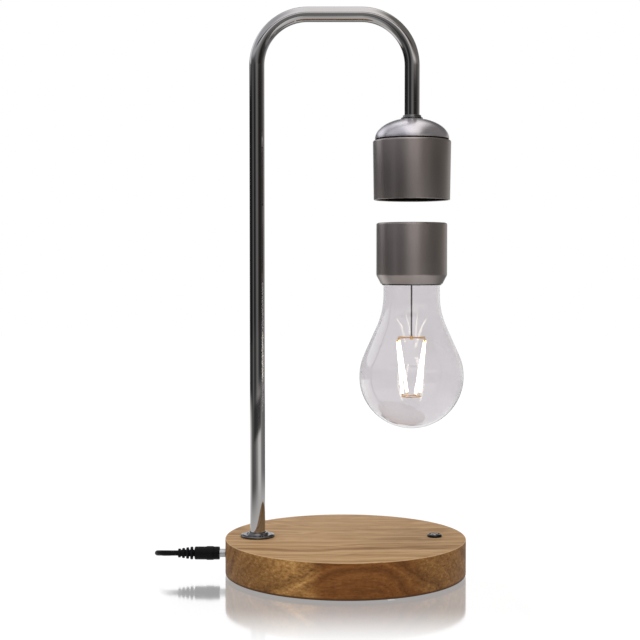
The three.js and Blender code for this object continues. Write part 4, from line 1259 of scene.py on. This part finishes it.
def make_floor():
    """White where it is seen, with the lamp's shadow and mirror image. Metal sees the studio."""
    maker = bmesh.new()
    bmesh.ops.create_grid(maker, x_segments=1, y_segments=1, size=FLOOR_HALF)
    nodes = Nodes("floor")
    nodes.tree.nodes.remove(nodes.shader)
    path = nodes.add("ShaderNodeLightPath").outputs
    seen = nodes.math("MAXIMUM", path["Is Camera Ray"], path["Is Glossy Ray"])
    seen = nodes.math("MAXIMUM", seen, path["Is Transmission Ray"])
    place = nodes.place()
    length = nodes.add("ShaderNodeVectorMath", operation="LENGTH")
    nodes.link(place, length.inputs[0])
    reach = length.outputs["Value"]
    mirrored = nodes.math("SUBTRACT", path["Is Glossy Ray"], path["Is Transmission Ray"])
    mirrored = nodes.math("MAXIMUM", mirrored, 0.0)
    past_table = nodes.math("MULTIPLY", mirrored, nodes.step(reach, *TABLE_END))
    white = nodes.add("ShaderNodeEmission")
    spot = nodes.split(place)
    wall, room = wall_grey(nodes, spot, WALL_STOPS), wall_grey(nodes, spot, ROOM_STOPS)
    studio = blend(nodes, nodes.step(reach, *WALL_END), wall, room)
    studio = nodes.math("MULTIPLY", studio, beam_light(nodes, place, reach, BEAM_NEAR, BEAM_FAR))
    glow = blend(nodes, past_table, GLOW, studio)
    nodes.link(glow, white.inputs["Strength"])
    matt = nodes.add("ShaderNodeBsdfDiffuse")
    matt.inputs["Color"].default_value = FLOOR_GREY
    lit = nodes.add("ShaderNodeMixShader")
    nodes.link(nodes.math("MULTIPLY", seen, GLOW_SHARE), lit.inputs["Fac"])
    nodes.link(matt.outputs[0], lit.inputs[1])
    nodes.link(white.outputs[0], lit.inputs[2])
    gloss = nodes.add("ShaderNodeBsdfGlossy")
    gloss.inputs["Color"].default_value = (*WHITE, 1)
    gloss.inputs["Roughness"].default_value = FLOOR_ROUGHNESS
    in_front = nodes.step(spot["Y"], *GLOSS_FRONT)
    fade = nodes.math("MULTIPLY", in_front, nodes.step(spot["Y"], *GLOSS_BEHIND))
    beside = nodes.step(nodes.math("ABSOLUTE", spot["X"]), *GLOSS_BESIDE)
    fade = nodes.math("MULTIPLY", nodes.math("MULTIPLY", fade, beside), GLOSS_SHARE)
    mirror = nodes.add("ShaderNodeMixShader")
    nodes.link(nodes.math("MULTIPLY", fade, path["Is Camera Ray"]), mirror.inputs["Fac"])
    nodes.link(lit.outputs[0], mirror.inputs[1])
    nodes.link(gloss.outputs[0], mirror.inputs[2])
    nodes.link(mirror.outputs[0], nodes.output.inputs["Surface"])
    keep_mesh("floor", maker, nodes.material, smooth=False)


def make_world():
    """White to the camera and through glass. Metal sees the studio: room, walls, lid and beam."""
    world = bpy.data.worlds.new("studio")
    bpy.context.scene.world = world
    world.use_nodes = True
    nodes = Tree(world.node_tree)
    nodes.tree.nodes.clear()
    sight = nodes.add("ShaderNodeTexCoord").outputs["Generated"]
    direction = nodes.split(sight)
    side, height = direction["X"], direction["Z"]
    room = wall_grey(nodes, direction, ROOM_STOPS)
    backdrop = nodes.span(direction["Y"], 0.0, BACKDROP_LIFT, *BACKDROP_SPAN)
    wall_height = nodes.math("SUBTRACT", height, backdrop)
    walls = wall_grey(nodes, direction, WALL_STOPS)
    studio = blend(nodes, nodes.step(wall_height, *WALL_RISE), room, walls)
    lid = nodes.span(side, LID_LEFT, LID_BRIGHT, *LID_TO_BRIGHT, "SMOOTHSTEP")
    lid = blend(nodes, nodes.step(side, *LID_TO_RIGHT), lid, LID_RIGHT)
    lid_lift = nodes.span(direction["Y"], 0.0, LID_LIFT, *LID_SPAN)
    lid_height = nodes.math("SUBTRACT", height, lid_lift)
    studio = blend(nodes, nodes.step(lid_height, *LID_RISE), studio, lid)
    studio = nodes.math("MULTIPLY", studio, beam_light(nodes, sight, height, BEAM_LOW, BEAM_HIGH))
    path = nodes.add("ShaderNodeLightPath").outputs
    straight = nodes.math("MAXIMUM", path["Is Camera Ray"], path["Is Transmission Ray"])
    mirrored = nodes.math("MULTIPLY", path["Is Glossy Ray"], nodes.math("SUBTRACT", 1.0, straight))
    tint = nodes.mix(nodes.step(side, *WARM_RISE), COOL, WARM)
    tint = nodes.mix(mirrored, nodes.mix(straight, LIGHT_GREY, WHITE), tint)
    background = nodes.add("ShaderNodeBackground")
    nodes.link(tint, background.inputs["Color"])
    nodes.link(blend(nodes, mirrored, 1.0, studio), background.inputs["Strength"])
    output = nodes.add("ShaderNodeOutputWorld")
    nodes.link(background.outputs[0], output.inputs["Surface"])


# Name, place in metres, size, power and colour
LAMPS = [
    ("key", (0.5, -1.0, 0.75), 0.5, 5.5, (1.0, 0.98, 0.95)),
    ("left", (-0.9, -0.7, 0.5), 0.5, 2.6, (0.97, 0.98, 1.0)),
    ("top", (0.0, 0.1, 1.4), 0.9, 7.0, (1.0, 1.0, 1.0)),
]
LAMP_TARGET = Vector((0, 0, 0.15))


def make_lamps():
    for name, place, size, power, color in LAMPS:
        lamp = bpy.data.lights.new(name, "AREA")
        lamp.shape = "SQUARE"
        lamp.size = size
        lamp.energy = power
        lamp.color = color
        shown = bpy.data.objects.new(name, lamp)
        shown.location = place
        shown.rotation_euler = (LAMP_TARGET - Vector(place)).to_track_quat("-Z", "Y").to_euler()
        shown.visible_glossy = False
        shown.visible_transmission = False
        bpy.context.collection.objects.link(shown)


make_camera()
dress_frame_nodes()
cord, cord_length = make_cord()
cord.data.materials.append(CABLE)
dress(cord, "plug", "cable", "cord_lead", "cord_coil", "cord_tail")
plug_pieces = make_plug()
make_base()
make_socket()
make_stand()
make_button()
make_holder()
make_cap()
make_glass()
make_wires()
make_floor()
make_world()
make_lamps()
bpy.context.scene.view_settings.view_transform = "Standard"
